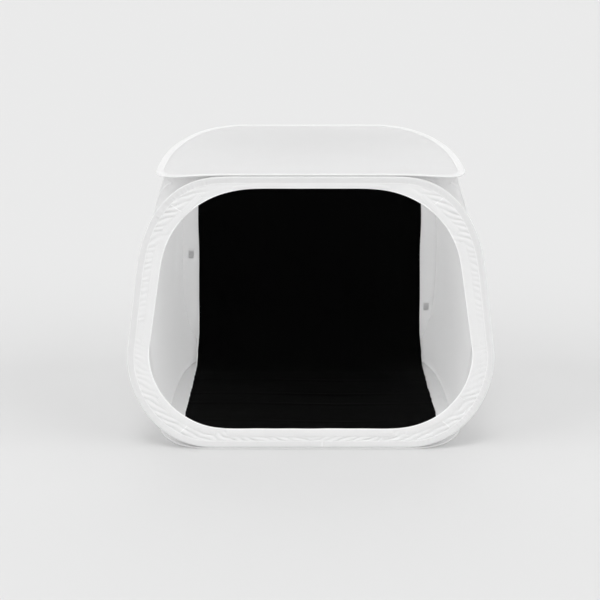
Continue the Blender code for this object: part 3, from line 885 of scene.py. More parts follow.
@dataclass
class Sleeve:
    """The folded strip of cloth round a hoop's wire, with its row of stitches on both faces.

    face holds the depths of one face of its section, from its lip to the wire.
    """

    hoop: Hoop
    gather: float = 0.0006
    gather_length: float = 0.019
    tick: float = 0.00030
    tick_length: float = 0.014
    sink: float = 0.0003
    straight_share: float = 0.35
    tube_share: float = 0.25
    lip_start: float = -0.002
    lip_length: float = 0.020
    bound_rows: int = 2
    columns: int = 1080
    seed: int = 1
    strip_width: float = 0.062
    cloth: float = 0.0007
    slot_half: float = 0.0009
    pocket_start: float = 0.003
    pocket_end: float = 0.0075
    stitch_pitch: float = 0.0046
    stitch_size: float = 0.00038
    stitch_depth: float = 0.0215
    ground: float = 0.0001
    face: tuple[float, ...] = (
        0.0245, 0.0238, 0.0225, 0.0205, 0.0175, 0.0140, 0.0105, 0.0070, 0.0035,
    )

    def skin_line(self, full: float, lip: float, end: float) -> Array:
        """One skin's section: in along a face, round the wire by half a circle and out again.

        The face falls by a smooth step from the full height at the pocket to the lip's.

        Args:
            full: half the height round the wire.
            lip: half the height at the lip.
            end: the depth where it has fallen.

        Returns:
            Depths and heights.
        """
        face = np.array(self.face)
        fall = smooth((face - self.pocket_start) / (end - self.pocket_start))
        height = full + (lip - full) * fall
        turn = np.linspace(0.0, math.pi, 11)
        depth = np.concatenate([face, -full * np.sin(turn), face[::-1]])
        rise = np.concatenate([height, full * np.cos(turn), -height[::-1]])
        return np.column_stack([depth, rise])

    def puckers(self, loop: Array, depth: Array) -> Array:
        """How far the cloth rises off its section: uneven ripples along the seam.

        Strongest at the lip and at the corners, less on the tube round the wire.

        Args:
            loop: the wire's closed line.
            depth: the section's depths.

        Returns:
            Heights, section points by loop points.
        """
        along, whole = loop_places(loop)
        at_corner = corner_share(loop)
        fine = ripple(along, whole, self.tick_length, self.seed) * self.tick
        fine = fine * (self.straight_share + (1.0 - self.straight_share) * at_corner)
        folds = ripple(along, whole, self.gather_length, self.seed + 1) * self.gather * at_corner
        toward_lip = smooth((depth - self.lip_start) / self.lip_length)[:, None]
        share = self.tube_share + (1.0 - self.tube_share) * toward_lip
        return np.clip(fine + folds, -self.sink, None)[None] * share

    def build(self, sewn: list[Piece]) -> None:
        """The sleeve and its stitches.

        Args:
            sewn: other pieces that are sewn to it; not used.
        """
        loop = self.hoop.outline.loop(self.columns)
        inward = loop_normals(loop)
        outer = self.skin_line(TENT.half_thickness, TENT.lip_half, TENT.seam_depth)
        inner = self.skin_line(TENT.half_thickness - self.cloth, self.slot_half, self.pocket_end)
        depth, height = np.vstack([outer, inner[::-1]]).T
        rise = self.puckers(loop, depth)
        rise[len(outer) :] = 0.0
        off = height[:, None] + np.sign(height)[:, None] * rise
        grid = self.hoop.at(loop[None] + inward[None] * depth[:, None, None], off)
        grid[..., 2] = np.maximum(grid[..., 2], self.ground)
        skin = grid_skin(grid, columns_close=True, rows_close=True).outward()
        name = self.hoop.name
        cloth = sew(f"{name}_sleeve_cloth", skin, "sleeve", name, f"{name}_hoop_sleeve")
        row = np.arange(len(cloth.data.polygons)) // self.columns
        bind(cloth, np.minimum(row, len(outer) - 2 - row) < self.bound_rows)
        row = loop + inward * self.stitch_depth
        row = np.vstack([row, row[:1]])
        face = slice(len(self.face) - 1, None, -1)
        surface = float(np.interp(self.stitch_depth, depth[face], height[face]))
        rows = []
        for sign in (1.0, -1.0):
            line = self.hoop.at(row, sign * surface)
            away = self.hoop.at(row, sign * (surface + 1.0)) - line
            rows.append(stitch_skin(line, away, self.stitch_pitch, self.stitch_size))
        thread = sew(f"{name}_sleeve_stitches", joined(rows), "thread", name)


@dataclass
class Panel:
    """The cloth in a hoop, its edge held under the sleeve's lips."""

    hoop: Hoop
    look: str = "panel"
    sag: float = 0.0
    swell_height: float = 0.0008
    swell_length: float = 0.30
    pull: float = 0.0005
    pull_length: float = 0.055
    pull_fade: float = 5.0
    inwards_only: bool = False
    edge_depth: float = 0.0090
    seam_depth: float = 0.0265
    clear_length: float = 0.04
    crowding: float = 0.8
    hem: float = 0.03
    thickness: float = 0.0012
    ground: float = 0.0001
    columns: int = 600
    rings: int = 70
    seed: int = 11

    def surface(self, loop: Array) -> Array:
        """Rings that shrink to the middle, with a sag, a swell and pulls at the edge.

        Inside the sleeve it is flat. At share r of the way from its middle to the seam its height
        is the seam's times r^2, less sag * (1 - r^2), plus a swell and fine pulls that fade out
        next to the seam.

        Args:
            loop: the wire's closed line.

        Returns:
            Points, rings by loop points by 3.
        """
        edge, seam = inset(loop, self.edge_depth), inset(loop, self.seam_depth)
        centre = np.array([0.0, edge[:, 1].mean()])
        shares = np.linspace(1.0, 0.0, self.rings + 1)[:-1, None, None] ** self.crowding
        flat = np.concatenate([edge[None], centre + (seam - centre)[None] * shares])
        share = np.vstack([np.ones((1, 1)), shares[..., 0]])
        along, whole = loop_places(loop)
        reach = np.linalg.norm(seam - centre, axis=1)[None]
        clear = smooth((1.0 - share) * reach / self.clear_length)
        waves = swell(flat, self.swell_length, self.seed)
        if self.inwards_only:
            waves = (0.5 + 0.4 * waves).clip(0.0, None)
        pulls = ripple(along, whole, self.pull_length, self.seed + 1)[None]
        pulls = pulls * (0.6 + 0.4 * corner_share(loop)[None])
        off = -self.sag * (1.0 - share**2) + self.swell_height * waves * clear
        off = off + self.pull * pulls * share**self.pull_fade * smooth(clear * 4.0)
        points = self.hoop.at(flat, off)
        if self.hoop.name == "top":
            wanted = TENT.top_droop(seam)[None] * share**2
            wanted[0] = TENT.top_droop(edge)
            points[..., 2] += wanted - TENT.top_droop(flat)
        points[..., 2] = np.maximum(points[..., 2], self.thickness / 2 + self.ground)
        return points

    def build(self, sewn: tuple[Piece, ...] = ()) -> None:
        """The panel as a closed sheet.

        Args:
            sewn: the pieces that are sewn to it; not used.
        """
        loop = self.hoop.outline.loop(self.columns)
        rings = self.surface(loop)
        skin = drum_skin(rings, rings[-1].mean(axis=0)).thick(self.thickness)
        name = self.hoop.name
        piece = sew(f"{name}_panel_cloth", skin, self.look, name, f"{name}_panel")


@dataclass
class Tape:
    """One strip of hook-and-loop tape: the line it follows and its width."""

    node: str
    line: Array
    width: float


@dataclass
class FrontBand:
    """The band round the opening, its hem, its tape strips and its piecing seams."""

    hoop: Hoop = HOOPS["front"]
    opening: Outline = TENT.opening
    seam_depth: float = 0.0235
    thickness: float = 0.0012
    columns: int = 1300
    rows: int = 22
    tape_margin: float = 0.002
    tape_thickness: float = 0.0012
    tape_off: float = 0.0015
    tape_step: float = 0.006
    stitch_pitch: float = 0.0040
    stitch_size: float = 0.00035
    middle: float = 0.5
    gather_length: float = 0.022
    lower_angle: float = 27.0
    upper_angle: float = -15.0
    upper_gather: float = 0.0034
    lower_gather: float = 0.0027
    bottom_gather: float = 0.0024
    side_gather: float = 0.0008
    bend_length: float = 0.13
    depth_length: float = 0.07
    middle_clear: float = 0.06
    tape_clear: float = 0.007
    lift_height: float = 0.0011
    lift_length: float = 0.17
    lift_fade: float = 0.035
    hem_middle: float = 0.0012
    hem_half: float = 0.0024
    hem_rise: float = 0.00085
    welt_half: float = 0.0019
    welt_off: float = 0.0006
    welt_rise: float = 0.0010
    seam_spots: tuple[tuple[float, float], ...] = (
        (0.466, 1.000), (-0.486, 0.964), (-0.471, 0.117), (0.518, 0.117),
    )

    def tapes(self) -> list[Tape]:
        """The strips of tape: places are lengths of edge from the opening's low middle.

        Returns:
            The eight strips.
        """
        edge = self.opening.half()
        whole = places_along(edge)[-1]
        spans = ((0.0, 0.335), (whole - 0.30, whole), (0.85, 1.27), (0.375, 0.635))
        bottom, top, side, lower = (stretch(edge, *span, self.tape_step) for span in spans)
        start, middle, end = points_at(edge, np.array([1.385, 1.405, 1.425]))
        along = (end - start) / np.linalg.norm(end - start)
        upper = middle + np.outer(np.linspace(-0.1, 0.1, 34), along)
        strips = [
            Tape("tape_bottom", np.vstack([bottom[:0:-1] * MIRROR, bottom]), 0.030),
            Tape("tape_top", np.vstack([top, top[-2::-1] * MIRROR]), 0.015),
        ]
        pairs = (("side", side, 0.030), ("lower", lower, 0.026), ("upper", upper, 0.022))
        for word, line, width in pairs:
            strips.append(Tape(f"tape_{word}_right", line, width))
            strips.append(Tape(f"tape_{word}_left", (line * MIRROR)[::-1], width))
        return strips

    def strip(self, tape: Tape, across: Array) -> Array:
        """Points of a strip at given shares of its width, out from its margin.

        Args:
            tape: the strip.
            across: shares of the width, 0 next to the opening.

        Returns:
            Flat points, shares by line points by 2.
        """
        along = unit(np.gradient(tape.line, axis=0))
        out = np.column_stack([along[:, 1], -along[:, 0]])
        reach = self.tape_margin + np.asarray(across)[:, None, None] * tape.width
        return tape.line[None] + out[None] * reach

    def lift(self, flat: Array) -> Array:
        """The slow swell of the whole band, nothing at the sleeve's seam.

        Args:
            flat: points of the hoop's plane, by 2.

        Returns:
            How far each stands forward.
        """
        seam = inset(self.hoop.outline.loop(240), self.seam_depth)
        fade = smooth(-distance_outside(flat, seam) / self.lift_fade)
        return self.lift_height * swell(flat, self.lift_length, 31) * fade

    def surface(self) -> tuple[Array, Array]:
        """The band's points and how far they stand forward.

        A point lies at share c of the way from the sleeve's seam to the opening's edge. The
        gathers are soft folds with sharp valleys, |sin| of a place across them. They all rise
        outwards in the lower corners and fall outwards in the upper ones, fade with c and leave
        the tape strips flat.

        Returns:
            Flat points, rows by columns by 2, and the forward distances.
        """
        seam = inset(self.hoop.outline.loop(self.columns), self.seam_depth)
        edge = self.opening.loop(self.columns)
        share = np.linspace(0.0, 1.0, self.rows)[:, None]
        flat = seam[None] + (edge - seam)[None] * share[..., None]
        along, whole = loop_places(seam)
        way = loop_normals(seam)
        at_corner = corner_share(seam)
        at_bottom = smooth((way[:, 1] - 0.5) / 0.4)
        at_side = smooth((np.abs(way[:, 0]) - 0.7) / 0.3)
        height = np.where(seam[:, 1] > self.middle, self.upper_gather, self.lower_gather)
        height = height * at_corner + self.bottom_gather * at_bottom * (1.0 - at_corner)
        height = height + self.side_gather * at_side
        above = flat[..., 1] > self.middle
        angle = np.radians(np.where(above, self.upper_angle, self.lower_angle))
        place = flat[..., 1] * np.cos(angle) - np.abs(flat[..., 0]) * np.sin(angle)
        bend = 0.6 * ripple(along, whole, self.bend_length, 41)[None]
        deep = 0.8 + 0.3 * ripple(along, whole, self.depth_length, 43)[None]
        phase = math.pi * place / self.gather_length + bend
        wave = (2.0 * np.abs(np.sin(phase)) ** 0.8 - 1.2) * deep
        wave = wave * smooth(np.abs(flat[..., 1] - self.middle) / self.middle_clear)
        clear = np.full(flat.shape[:-1], 1.0)
        for tape in self.tapes():
            sides = self.strip(tape, np.array([-0.05, 1.0]))
            outline = np.vstack([sides[0], sides[1][::-1]])[::2]
            near = distance_outside(flat, outline) / self.tape_clear
            clear = np.minimum(clear, smooth(near))
        fade = (1.0 - 0.75 * smooth(share)) * smooth(share / 0.02 + 0.3) * clear
        return flat, height[None] * wave * fade + self.lift(flat)

    def build(self) -> None:
        """The band and everything sewn to it."""
        flat, forward = self.surface()
        skin = grid_skin(self.hoop.at(flat, forward), columns_close=True).thick(self.thickness)
        band = sew("front_band_cloth", skin, "band", "front", "front_band")
        pieces = [self.hem(flat[-1], forward[-1]), self.seams(flat, forward)]
        crown = np.array([-0.0002, 0.0, 0.0001, 0.0, -0.0002])[:, None]
        threads = []
        for tape in self.tapes():
            points = self.strip(tape, np.array([0.0, 0.04, 0.5, 0.96, 1.0]))
            off = self.tape_off + crown + self.lift(points)
            strip = grid_skin(self.hoop.at(points, off)).thick(self.tape_thickness)
            pieces.append(sew(f"{tape.node}_loops", strip, "tape", "front", tape.node))
            rim = self.strip(tape, np.array([0.09, 0.91]))
            for line in (*rim, rim[:, 1], rim[:, -2]):
                off = self.tape_off + self.tape_thickness / 2 + self.lift(line)
                row = self.hoop.at(line, off)
                facing = np.tile(FORWARD, (len(line), 1))
                threads.append(stitch_skin(row, facing, self.stitch_pitch, self.stitch_size))
        pieces.append(sew("band_stitches", joined(threads), "thread", "front"))

    def hem(self, edge: Array, forward: Array) -> Piece:
        """The bound edge of the opening: a flat oval carried along the edge.

        Args:
            edge: the opening's edge, by 2.
            forward: how far it stands forward.

        Returns:
            The binding.
        """
        turn = np.linspace(0.0, math.tau, 13)[:-1, None]
        reach = self.hem_middle + self.hem_half * np.cos(turn)[..., None]
        flat = edge[None] - loop_normals(edge)[None] * reach
        grid = self.hoop.at(flat, forward[None] + self.hem_rise * np.sin(turn))
        skin = grid_skin(grid, columns_close=True, rows_close=True).outward()
        return sew("opening_edge_binding", skin, "binding", "front")

    def seams(self, flat: Array, forward: Array) -> Piece:
        """The piecing seams: narrow welts from the sleeve to the opening at four places.

        Args:
            flat: the band's points.
            forward: how far they stand forward.

        Returns:
            The four welts as one piece.
        """
        turn = np.linspace(0.0, math.pi, 7)[:, None]
        welts = []
        for spot in self.seam_spots:
            column = int(np.linalg.norm(flat[-1] - spot, axis=1).argmin())
            line = flat[1:-1, column]
            along = (line[-1] - line[0]) / np.linalg.norm(line[-1] - line[0])
            side = np.array([-along[1], along[0]])
            points = line[None] + side * (self.welt_half * np.cos(turn))[..., None]
            off = forward[1:-1, column][None] + self.welt_off + self.welt_rise * np.sin(turn)
            welts.append(grid_skin(self.hoop.at(points, off), rows_close=True).outward())
        return sew("band_piecing_seams", joined(welts), "binding", "front")


@dataclass
class Wall:
    """A soft side wall, hung between the four hoops' seams."""

    side: Side
    thickness: float = 0.0010
    tuck: float = 0.0025
    corner_inset: float = 0.002
    fullness_share: float = 0.25
    coarse_cells: int = 33
    coarse_turns: int = 2500
    doublings: int = 2
    fine_turns: int = 60
    depth_share: float = 0.33
    depth: float = 1.2
    height: float = 1.1
    seam_width: float = 0.012
    seam_height: float = 0.0009
    seam_cloth: float = 0.0006
    seam_depth: float = 0.26
    seam_end: float = 0.14
    seam_turn: float = 5.0
    welt_radius: float = 0.0013
    welt_sink: float = 0.0008
    welt_trim: float = 0.030
    welt_step: float = 0.0036
    folded_keep: float = 0.003
    billow: float = 0.0060
    folds: float = 0.0034
    fold_reach: float = 0.16
    gathers: float = 0.0022
    gather_length: float = 0.030
    gather_fade: float = 0.03
    rim_share: float = 0.012
    hidden_share: float = 0.25

    def seam(self, hoop: Hoop, low: float, high: float) -> Array:
        """The right side of a hoop's seam in space, between its two hinges' ends.

        Args:
            hoop: which hoop.
            low: how much of the low edge's half the hinge takes.
            high: how much of the high edge's half.

        Returns:
            Points by 3.
        """
        loop = hoop.outline.loop(1200)
        edge = inset(loop, TENT.seam_depth)[: len(loop) // 2 + 1]
        line = hoop.at(edge, -self.tuck)
        if hoop.name == "top":
            line[:, 2] += TENT.top_droop(loop[: len(edge)]) - TENT.top_droop(edge)
        return stretch(line, low, places_along(line)[-1] - high, 0.002)

    def edges(self) -> dict[str, Array]:
        """The right wall's four edges, with a corner at each end of each.

        Returns:
            The points of each hoop's edge, by 3.
        """
        front, back = TENT.front_hinge + self.corner_inset, TENT.back_hinge - self.corner_inset
        low, high = TENT.low_hinge + self.corner_inset, TENT.high_hinge - self.corner_inset
        corners = np.array(
            [(0.40, front, low), (0.42, back, low), (0.31, front, high), (0.28, back, high)]
        )
        edges = {}
        for name, pair in {"floor": (0, 1), "top": (2, 3), "front": (0, 2), "back": (1, 3)}.items():
            start, end = corners[list(pair)]
            edges[name] = np.vstack([start, self.seam(HOOPS[name], start[0], end[0]), end])
        return edges

    @property
    def cells(self) -> int:
        """How many cells the finished net has along each edge."""
        return self.coarse_cells * 2**self.doublings

    def ruled(self, cells: int) -> Array:
        """The full net: the two ruled surfaces between the edges, less the corners' own.

        Args:
            cells: how many cells it has along each edge.

        Returns:
            Points, levels by depths by 3.
        """
        edges = {name: resample(line, cells + 1) for name, line in self.edges().items()}
        low, high, front, back = (edges[name] for name in ("floor", "top", "front", "back"))
        u = np.linspace(0.0, 1.0, cells + 1)[None, :, None]
        v = np.linspace(0.0, 1.0, cells + 1)[:, None, None]
        levels = (1 - v) * low[None] + v * high[None]
        uprights = (1 - u) * front[:, None] + u * back[:, None]
        corners = (1 - v) * ((1 - u) * low[0] + u * low[-1])
        corners = corners + v * ((1 - u) * high[0] + u * high[-1])
        return levels + uprights - corners

    def net(self) -> Array:
        """The wall's points: a net at rest between its edges, with a share of fullness left in.

        The tight net moves each inner point to the mean of its four neighbours until it is at
        rest, the two beside it in depth with a smaller share than the two above and below. Coarse
        cells come first, then halved ones that begin between the coarse ones.

        Returns:
            Points, levels by depths by 3.
        """
        cells, turns = self.coarse_cells, self.coarse_turns
        tight = self.ruled(cells)
        for level in range(self.doublings + 1):
            if level:
                cells, turns = cells * 2, self.fine_turns
                begun, tight = tight, self.ruled(cells)
                finer = np.empty_like(tight)
                finer[::2, ::2] = begun
                finer[1::2, ::2] = (begun[:-1] + begun[1:]) / 2.0
                finer[:, 1::2] = (finer[:, :-2:2] + finer[:, 2::2]) / 2.0
                tight[1:-1, 1:-1] = finer[1:-1, 1:-1]
            for _ in range(turns):
                beside = tight[1:-1, :-2] + tight[1:-1, 2:]
                above = tight[:-2, 1:-1] + tight[2:, 1:-1]
                mean = self.depth_share * beside + (1.0 - self.depth_share) * above
                tight[1:-1, 1:-1] = mean / 2.0
        return tight + self.fullness_share * (self.ruled(cells) - tight)

    def relief(self) -> Array:
        """How far the cloth stands out of its net.

        Two slow billows, upright folds towards the back, and gathers that fade from each seam.
        Next to the front hoop it only stands inwards, so that it stays behind the hoop.

        Returns:
            Distances, levels by depths.
        """
        count = self.cells + 1
        u = np.linspace(0.0, 1.0, count)[None, :]
        v = np.linspace(0.0, 1.0, count)[:, None]
        seed = 60 + self.side.value
        billow = np.sin(math.tau * (0.7 * u + 0.4 * v) + seed)
        billow = billow + 0.5 * np.sin(math.tau * (1.6 * u - 1.1 * v) + 2.0 * seed)
        inner = np.sin(math.pi * u) * np.sin(math.pi * v)
        folds = np.sin(math.tau * (6.0 * u + 0.8 * np.sin(2.2 * v + seed)))
        folds = folds * np.exp(-(((1.0 - u) / self.fold_reach) ** 2)) * np.sin(math.pi * v)
        ticks, fade = 0.0, self.gather_fade
        for along, across, length, wide, which in (
            (u, v, self.depth, self.height, seed), (v, u, self.height, self.depth, seed + 5),
        ):
            near = np.exp(-across * wide / fade) + np.exp(-(1.0 - across) * wide / fade)
            ticks = ticks + ripple(along * length, length, self.gather_length, which) * near
        rim = smooth(np.minimum(np.minimum(u, 1 - u), np.minimum(v, 1 - v)) / self.rim_share)
        height = rim * (self.billow * inner * billow + self.folds * folds + self.gathers * ticks)
        behind = smooth((u - self.hidden_share) / self.hidden_share)
        return np.where(height > 0.0, height * behind, height)

    def quarters(self) -> dict[str, list[Array]]:
        """The net's faces in four pieces, cut along both diagonals, by the hoop each is sewn to.

        A cell belongs to the edge that its middle is nearest to, and a cell on a diagonal is cut
        in two along it.

        Returns:
            The corners of each piece's whole cells and of its two kinds of half cells.
        """
        cells = self.cells
        row, column = np.divmod(np.arange(cells * cells), cells)
        corners = (row * (cells + 1) + column)[:, None] + (0, 1, cells + 2, cells + 1)
        rising, falling = np.sign(column - row), np.sign(cells - 1 - row - column)
        signs = {"floor": (1, 1), "front": (-1, 1), "back": (1, -1), "top": (-1, -1)}
        pieces = {}
        for name, (first, second) in signs.items():
            half = (0, 1, 2) if first > 0 else (0, 2, 3)
            other = (0, 1, 3) if second > 0 else (1, 2, 3)
            pieces[name] = [
                corners[(rising == first) & (falling == second)],
                corners[(rising == 0) & (falling == second)][:, half],
                corners[(rising == first) & (falling == 0)][:, other],
            ]
        return pieces

    def felled_seam(self, surface: Array, away: Array) -> dict[str, Skin]:
        """The flat seam on the outside of the wall that follows the front hoop behind it.

        Its share of the depth is seam_depth at mid height and falls to seam_end at both ends, by
        |2v - 1| to the power seam_turn. It is a low strip with raised edges, cut where the wall
        is cut.

        Args:
            surface: the wall's points, levels by depths by 3.
            away: the directions out of it.

        Returns:
            The seam's pieces, by the hoop that carries each.
        """
        v = np.linspace(0.03, 0.97, 320)
        near = np.abs(2.0 * v - 1.0) ** self.seam_turn
        u = self.seam_depth + (self.seam_end - self.seam_depth) * near
        row, column = v * self.cells, u * self.cells
        low, left = row.astype(int), column.astype(int)
        down, aside = (row - low)[:, None], (column - left)[:, None]

        def sample(grid: Array) -> Array:
            """The grid's values between its points, straight in both directions.

            Args:
                grid: values at the wall's points.

            Returns:
                The values along the seam.
            """
            lower = (1 - aside) * grid[low, left] + aside * grid[low, left + 1]
            upper = (1 - aside) * grid[low + 1, left] + aside * grid[low + 1, left + 1]
            return (1 - down) * lower + down * upper

        line, out = sample(surface), sample(away)
        side = unit(np.cross(np.gradient(line, axis=0), out))
        share = np.array([-1.0, -0.86, -0.72, 0.72, 0.86, 1.0])[:, None, None]
        rise = np.array([0.35, 1.0, 0.55, 0.55, 1.0, 0.35])[:, None, None]
        grid = line + side * share * self.seam_width / 2
        grid = grid + out * (self.seam_height * rise + self.seam_cloth)
        cuts = {"top": v > 1.0 - u, "floor": v < u, "front": (v <= 1.0 - u) & (v >= u)}
        return {
            name: grid_skin(grid[:, cut]).thick(self.seam_cloth) for name, cut in cuts.items()
        }

    def welt(self, hoop: Hoop, line: Array) -> Skin:
        """The rounded ridge of folded edges along one of the wall's seams, half in the sleeve.

        Args:
            hoop: the hoop that the seam runs along.
            line: the seam of the right wall, by 3.

        Returns:
            A round cord along the line.
        """
        outwards = np.abs(hoop.axis) * hoop.outside
        end = places_along(line)[-1] - self.welt_trim
        line = stretch(line + outwards * self.welt_sink, self.welt_trim, end, self.welt_step)
        line = line * (self.side.value, 1.0, 1.0)
        return tube_skin(line, self.welt_radius, (1.0, 0.3, 0.2), 8)

    def build(self) -> None:
        """The wall in four pieces, each on its own hoop."""
        word = self.side.name.lower()
        net = self.net()
        whole = grid_skin(net)
        away = whole.normals()
        away *= np.where(away[:, :1] < 0.0, -1.0, 1.0)
        points = net.reshape(-1, 3) + away * self.relief().reshape(-1, 1)
        points = points * (self.side.value, 1.0, 1.0)
        away = Skin(points, whole.faces).normals()
        out = away * self.side.value * np.sign(away[:, :1].mean())
        strips = self.felled_seam(points.reshape(net.shape), out.reshape(net.shape))
        edges = self.edges()
        for name, faces in self.quarters().items():
            used = np.unique(np.concatenate([f.ravel() for f in faces]))
            number = np.zeros(len(points), dtype=int)
            number[used] = np.arange(len(used))
            part = Skin(points[used], [number[f] for f in faces])
            skin = part.thick(self.thickness, away[used])
            piece = sew(f"{word}_wall_{name}_cloth", skin, "wall", name, f"{word}_wall")
            hoop = HOOPS[name]
            welt = self.welt(hoop, edges[name])
            sewn = [sew(f"{word}_wall_{name}_welt", welt, "binding", name)]
            if name in strips:
                strip = f"{word}_wall_{name}_felled_seam"
                sewn.append(sew(strip, strips[name], "band", name))
            anchor = tuple(hoop.at(np.zeros(2), -self.tuck))
            for flattened in (piece, *sewn[1:]):
                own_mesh(flattened)
            width = round(float(places_along(edges[name])[-1]), 3)
            height = round(2.0 * part.area() / width, 3)


class Part(Enum):
    """The two parts of the backdrop: what hangs, and what lies and sweeps."""

    HANG = "hang"
    SWEEP = "sweep"


@dataclass
class Backdrop:
    """The black cloth that hangs on the back panel and sweeps forward over the floor."""

    hang_y: float = 0.6015
    floor_z: float = 0.0050
    top: float = 0.90
    radius: float = 0.25
    front_end: float = -0.5025
    top_half: float = 0.520
    front_half: float = 0.537
    thickness: float = 0.0012
    binding: float = 0.0055
    columns: int = 190
    hang_steps: int = 90
    bend_steps: int = 56
    floor_steps: int = 130
    folded_keep: float = 0.02
    lies_from: float = 1.05
    wave_height: float = 0.0016
    wave_length: float = 0.16
    swell_height: float = 0.0009
    swell_length: float = 0.20
    waver: float = 0.0013
    waver_length: float = 0.36
    fine_waver: float = 0.0009
    fine_length: float = 0.10
    waver_whole: float = 2.4
    fold_height: float = 0.0032
    fold_width: float = 0.009
    fold_bow: float = 0.014
    fold_spots: tuple[float, ...] = (0.33, 0.24, 0.048, -0.083, -0.30)

    def profile(self) -> Array:
        """The side view: down the back, round a quarter circle and forward.

        Returns:
            Depths and heights.
        """
        turn = np.linspace(0.0, math.pi / 2, self.bend_steps + 1)
        bend = np.column_stack([np.cos(turn) - 1.0, 1.0 - np.sin(turn)])
        sweep = np.array([self.hang_y, self.floor_z]) + self.radius * bend
        drop = np.linspace((self.hang_y, self.top), sweep[0], self.hang_steps + 1)
        run = np.linspace(sweep[-1], (self.front_end, self.floor_z), self.floor_steps + 1)
        return np.vstack([drop, sweep[1:], run[1:]])

    def grid(self) -> Array:
        """The cloth's points, from its top to its front end.

        Off the profile by soft upright waves where it hangs, and by low swells and fold creases
        where it lies, always towards the inside of the tent. Its two side edges waver.

        Returns:
            Points, steps by columns by 3.
        """
        profile = self.profile()
        along = places_along(profile)
        half = self.top_half + (self.front_half - self.top_half) * smooth(along / along[-1])
        bound_end = self.binding / self.top_half - 1.0
        across = np.concatenate([[-1.0], np.linspace(bound_end, 1.0, self.columns - 1)])
        step = unit(np.gradient(profile, axis=0))
        inward = np.column_stack([step[:, 1], -step[:, 0]])
        inward *= np.sign(inward @ np.array([-1.0, 1.0]))[:, None]
        hang = smooth(1.0 - along / (self.top - self.radius))[:, None]
        lies = smooth((along - self.lies_from) / 0.15)[:, None]
        flat = np.stack(np.broadcast_arrays(half[:, None] * across, along[:, None]), axis=-1)
        place, whole = across * self.top_half + self.top_half, 2.0 * self.top_half
        waves = self.wave_height * (1.0 + ripple(place, whole, self.wave_length, 71))[None]
        waves = waves * smooth(along / 0.05)[:, None] * (1.0 - 0.6 * hang) * (1.0 - lies)
        swells = self.swell_height * (1.0 + swell(flat, self.swell_length, 73)) * lies
        line = self.fold_bow * np.sin(3.1 * across + 0.7)[None] + profile[:, :1]
        crease = sum(np.exp(-(((line - spot) / self.fold_width) ** 2)) for spot in self.fold_spots)
        folds = self.fold_height * crease * lies * (0.6 + 0.4 * np.sin(4.0 * across + 1.0))
        off = np.clip(waves, 0.0, None) + np.clip(swells, 0.0, None) + folds
        whole, swept = self.waver_whole, smooth((along - self.top + self.radius) / 0.2)
        fine = self.fine_waver * ripple(along, whole, self.fine_length, 76) * swept
        waver = self.waver * ripple(along, whole, self.waver_length, 75) + fine
        waver = waver[:, None] * np.abs(across) ** 30
        grid = np.empty((len(profile), self.columns, 3))
        grid[..., 0] = half[:, None] * across + waver * np.sign(across)
        grid[..., 1:] = profile[:, None] + inward[:, None] * off[..., None]
        return grid

    def at_edge(self, mesh: bpy.types.Mesh) -> Array:
        """Which faces of a part lie on the cloth's bound left edge.

        Args:
            mesh: the part's mesh.

        Returns:
            Whether each face does.
        """
        corners = np.empty(len(mesh.loops), dtype=np.int32)
        mesh.loops.foreach_get("vertex_index", corners)
        column = corners.reshape(-1, 4) % (len(mesh.vertices) // 2) % self.columns
        return (column <= 1).all(axis=1)

    def build(self, hooks: list[Piece], loops: list[str]) -> None:
        """Both parts of the cloth, with a white binding along its left edge.

        Args:
            hooks: the patches sewn to its top edge; not used.
            loops: the pieces that they hold on to; not used.
        """
        grid = self.grid()
        cut = self.hang_steps + self.bend_steps // 2
        behind, under = (0.0, self.hang_y - 0.002, 0.0), (0.0, 0.0, self.floor_z + 0.001)
        for part, points, body, axis, anchor, held, rests, sewn in (
            (Part.HANG, grid[: cut + 1], "back", (0.0, 1.0, 0.0), behind, "hung", loops, hooks),
            (Part.SWEEP, grid[cut:], "floor", UP, under, "laid", ["floor_panel_cloth"], []),
        ):
            skin = grid_skin(points).thick(self.thickness)
            name = f"backdrop_{part.value}_cloth"
            piece = sew(name, skin, "backdrop", body, "backdrop")
            bind(piece, self.at_edge(piece.data))
            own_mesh(piece)


@dataclass
class Web:
    """The sewn strip in an inner corner of the ring of hoops."""

    name: str
    y: float
    z: float
    way_y: int
    way_z: int
    half_length: float
    bodies: tuple[str, ...]
    leg: float = 0.012
    off: float = 0.0008
    turn_radius: float = 0.004
    thickness: float = 0.0010
    pucker: float = 0.00025
    pucker_length: float = 0.02
    seed: int = 5

    def build(self) -> None:
        """The strip: along one hoop, round a quarter circle and along the other, puckered."""
        turn = np.linspace(0.0, math.pi / 2, 7)
        middle = self.off + self.turn_radius
        bend = middle - self.turn_radius * np.column_stack([np.sin(turn), np.cos(turn)])
        leg = np.column_stack([np.linspace(self.leg, middle, 5)[:-1], np.full(4, self.off)])
        section = np.vstack([leg, bend, leg[::-1, ::-1]])
        half = self.half_length
        across = np.linspace(-half, half, 200)
        wave = ripple(across + half, 2 * half, self.pucker_length, self.seed)
        wave = np.abs(self.pucker * wave)[None]
        grid = np.empty((len(section), len(across), 3))
        grid[..., 0] = across[None]
        grid[..., 1] = self.y + self.way_y * (section[:, :1] + wave)
        grid[..., 2] = self.z + self.way_z * (section[:, 1:] + wave)
        skin = grid_skin(grid).thick(self.thickness)
        single = self.bodies[0] if len(self.bodies) == 1 else ""
        piece = sew(f"{self.name}_cloth", skin, "sleeve", single, self.name)
        if not single:
            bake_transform(piece)


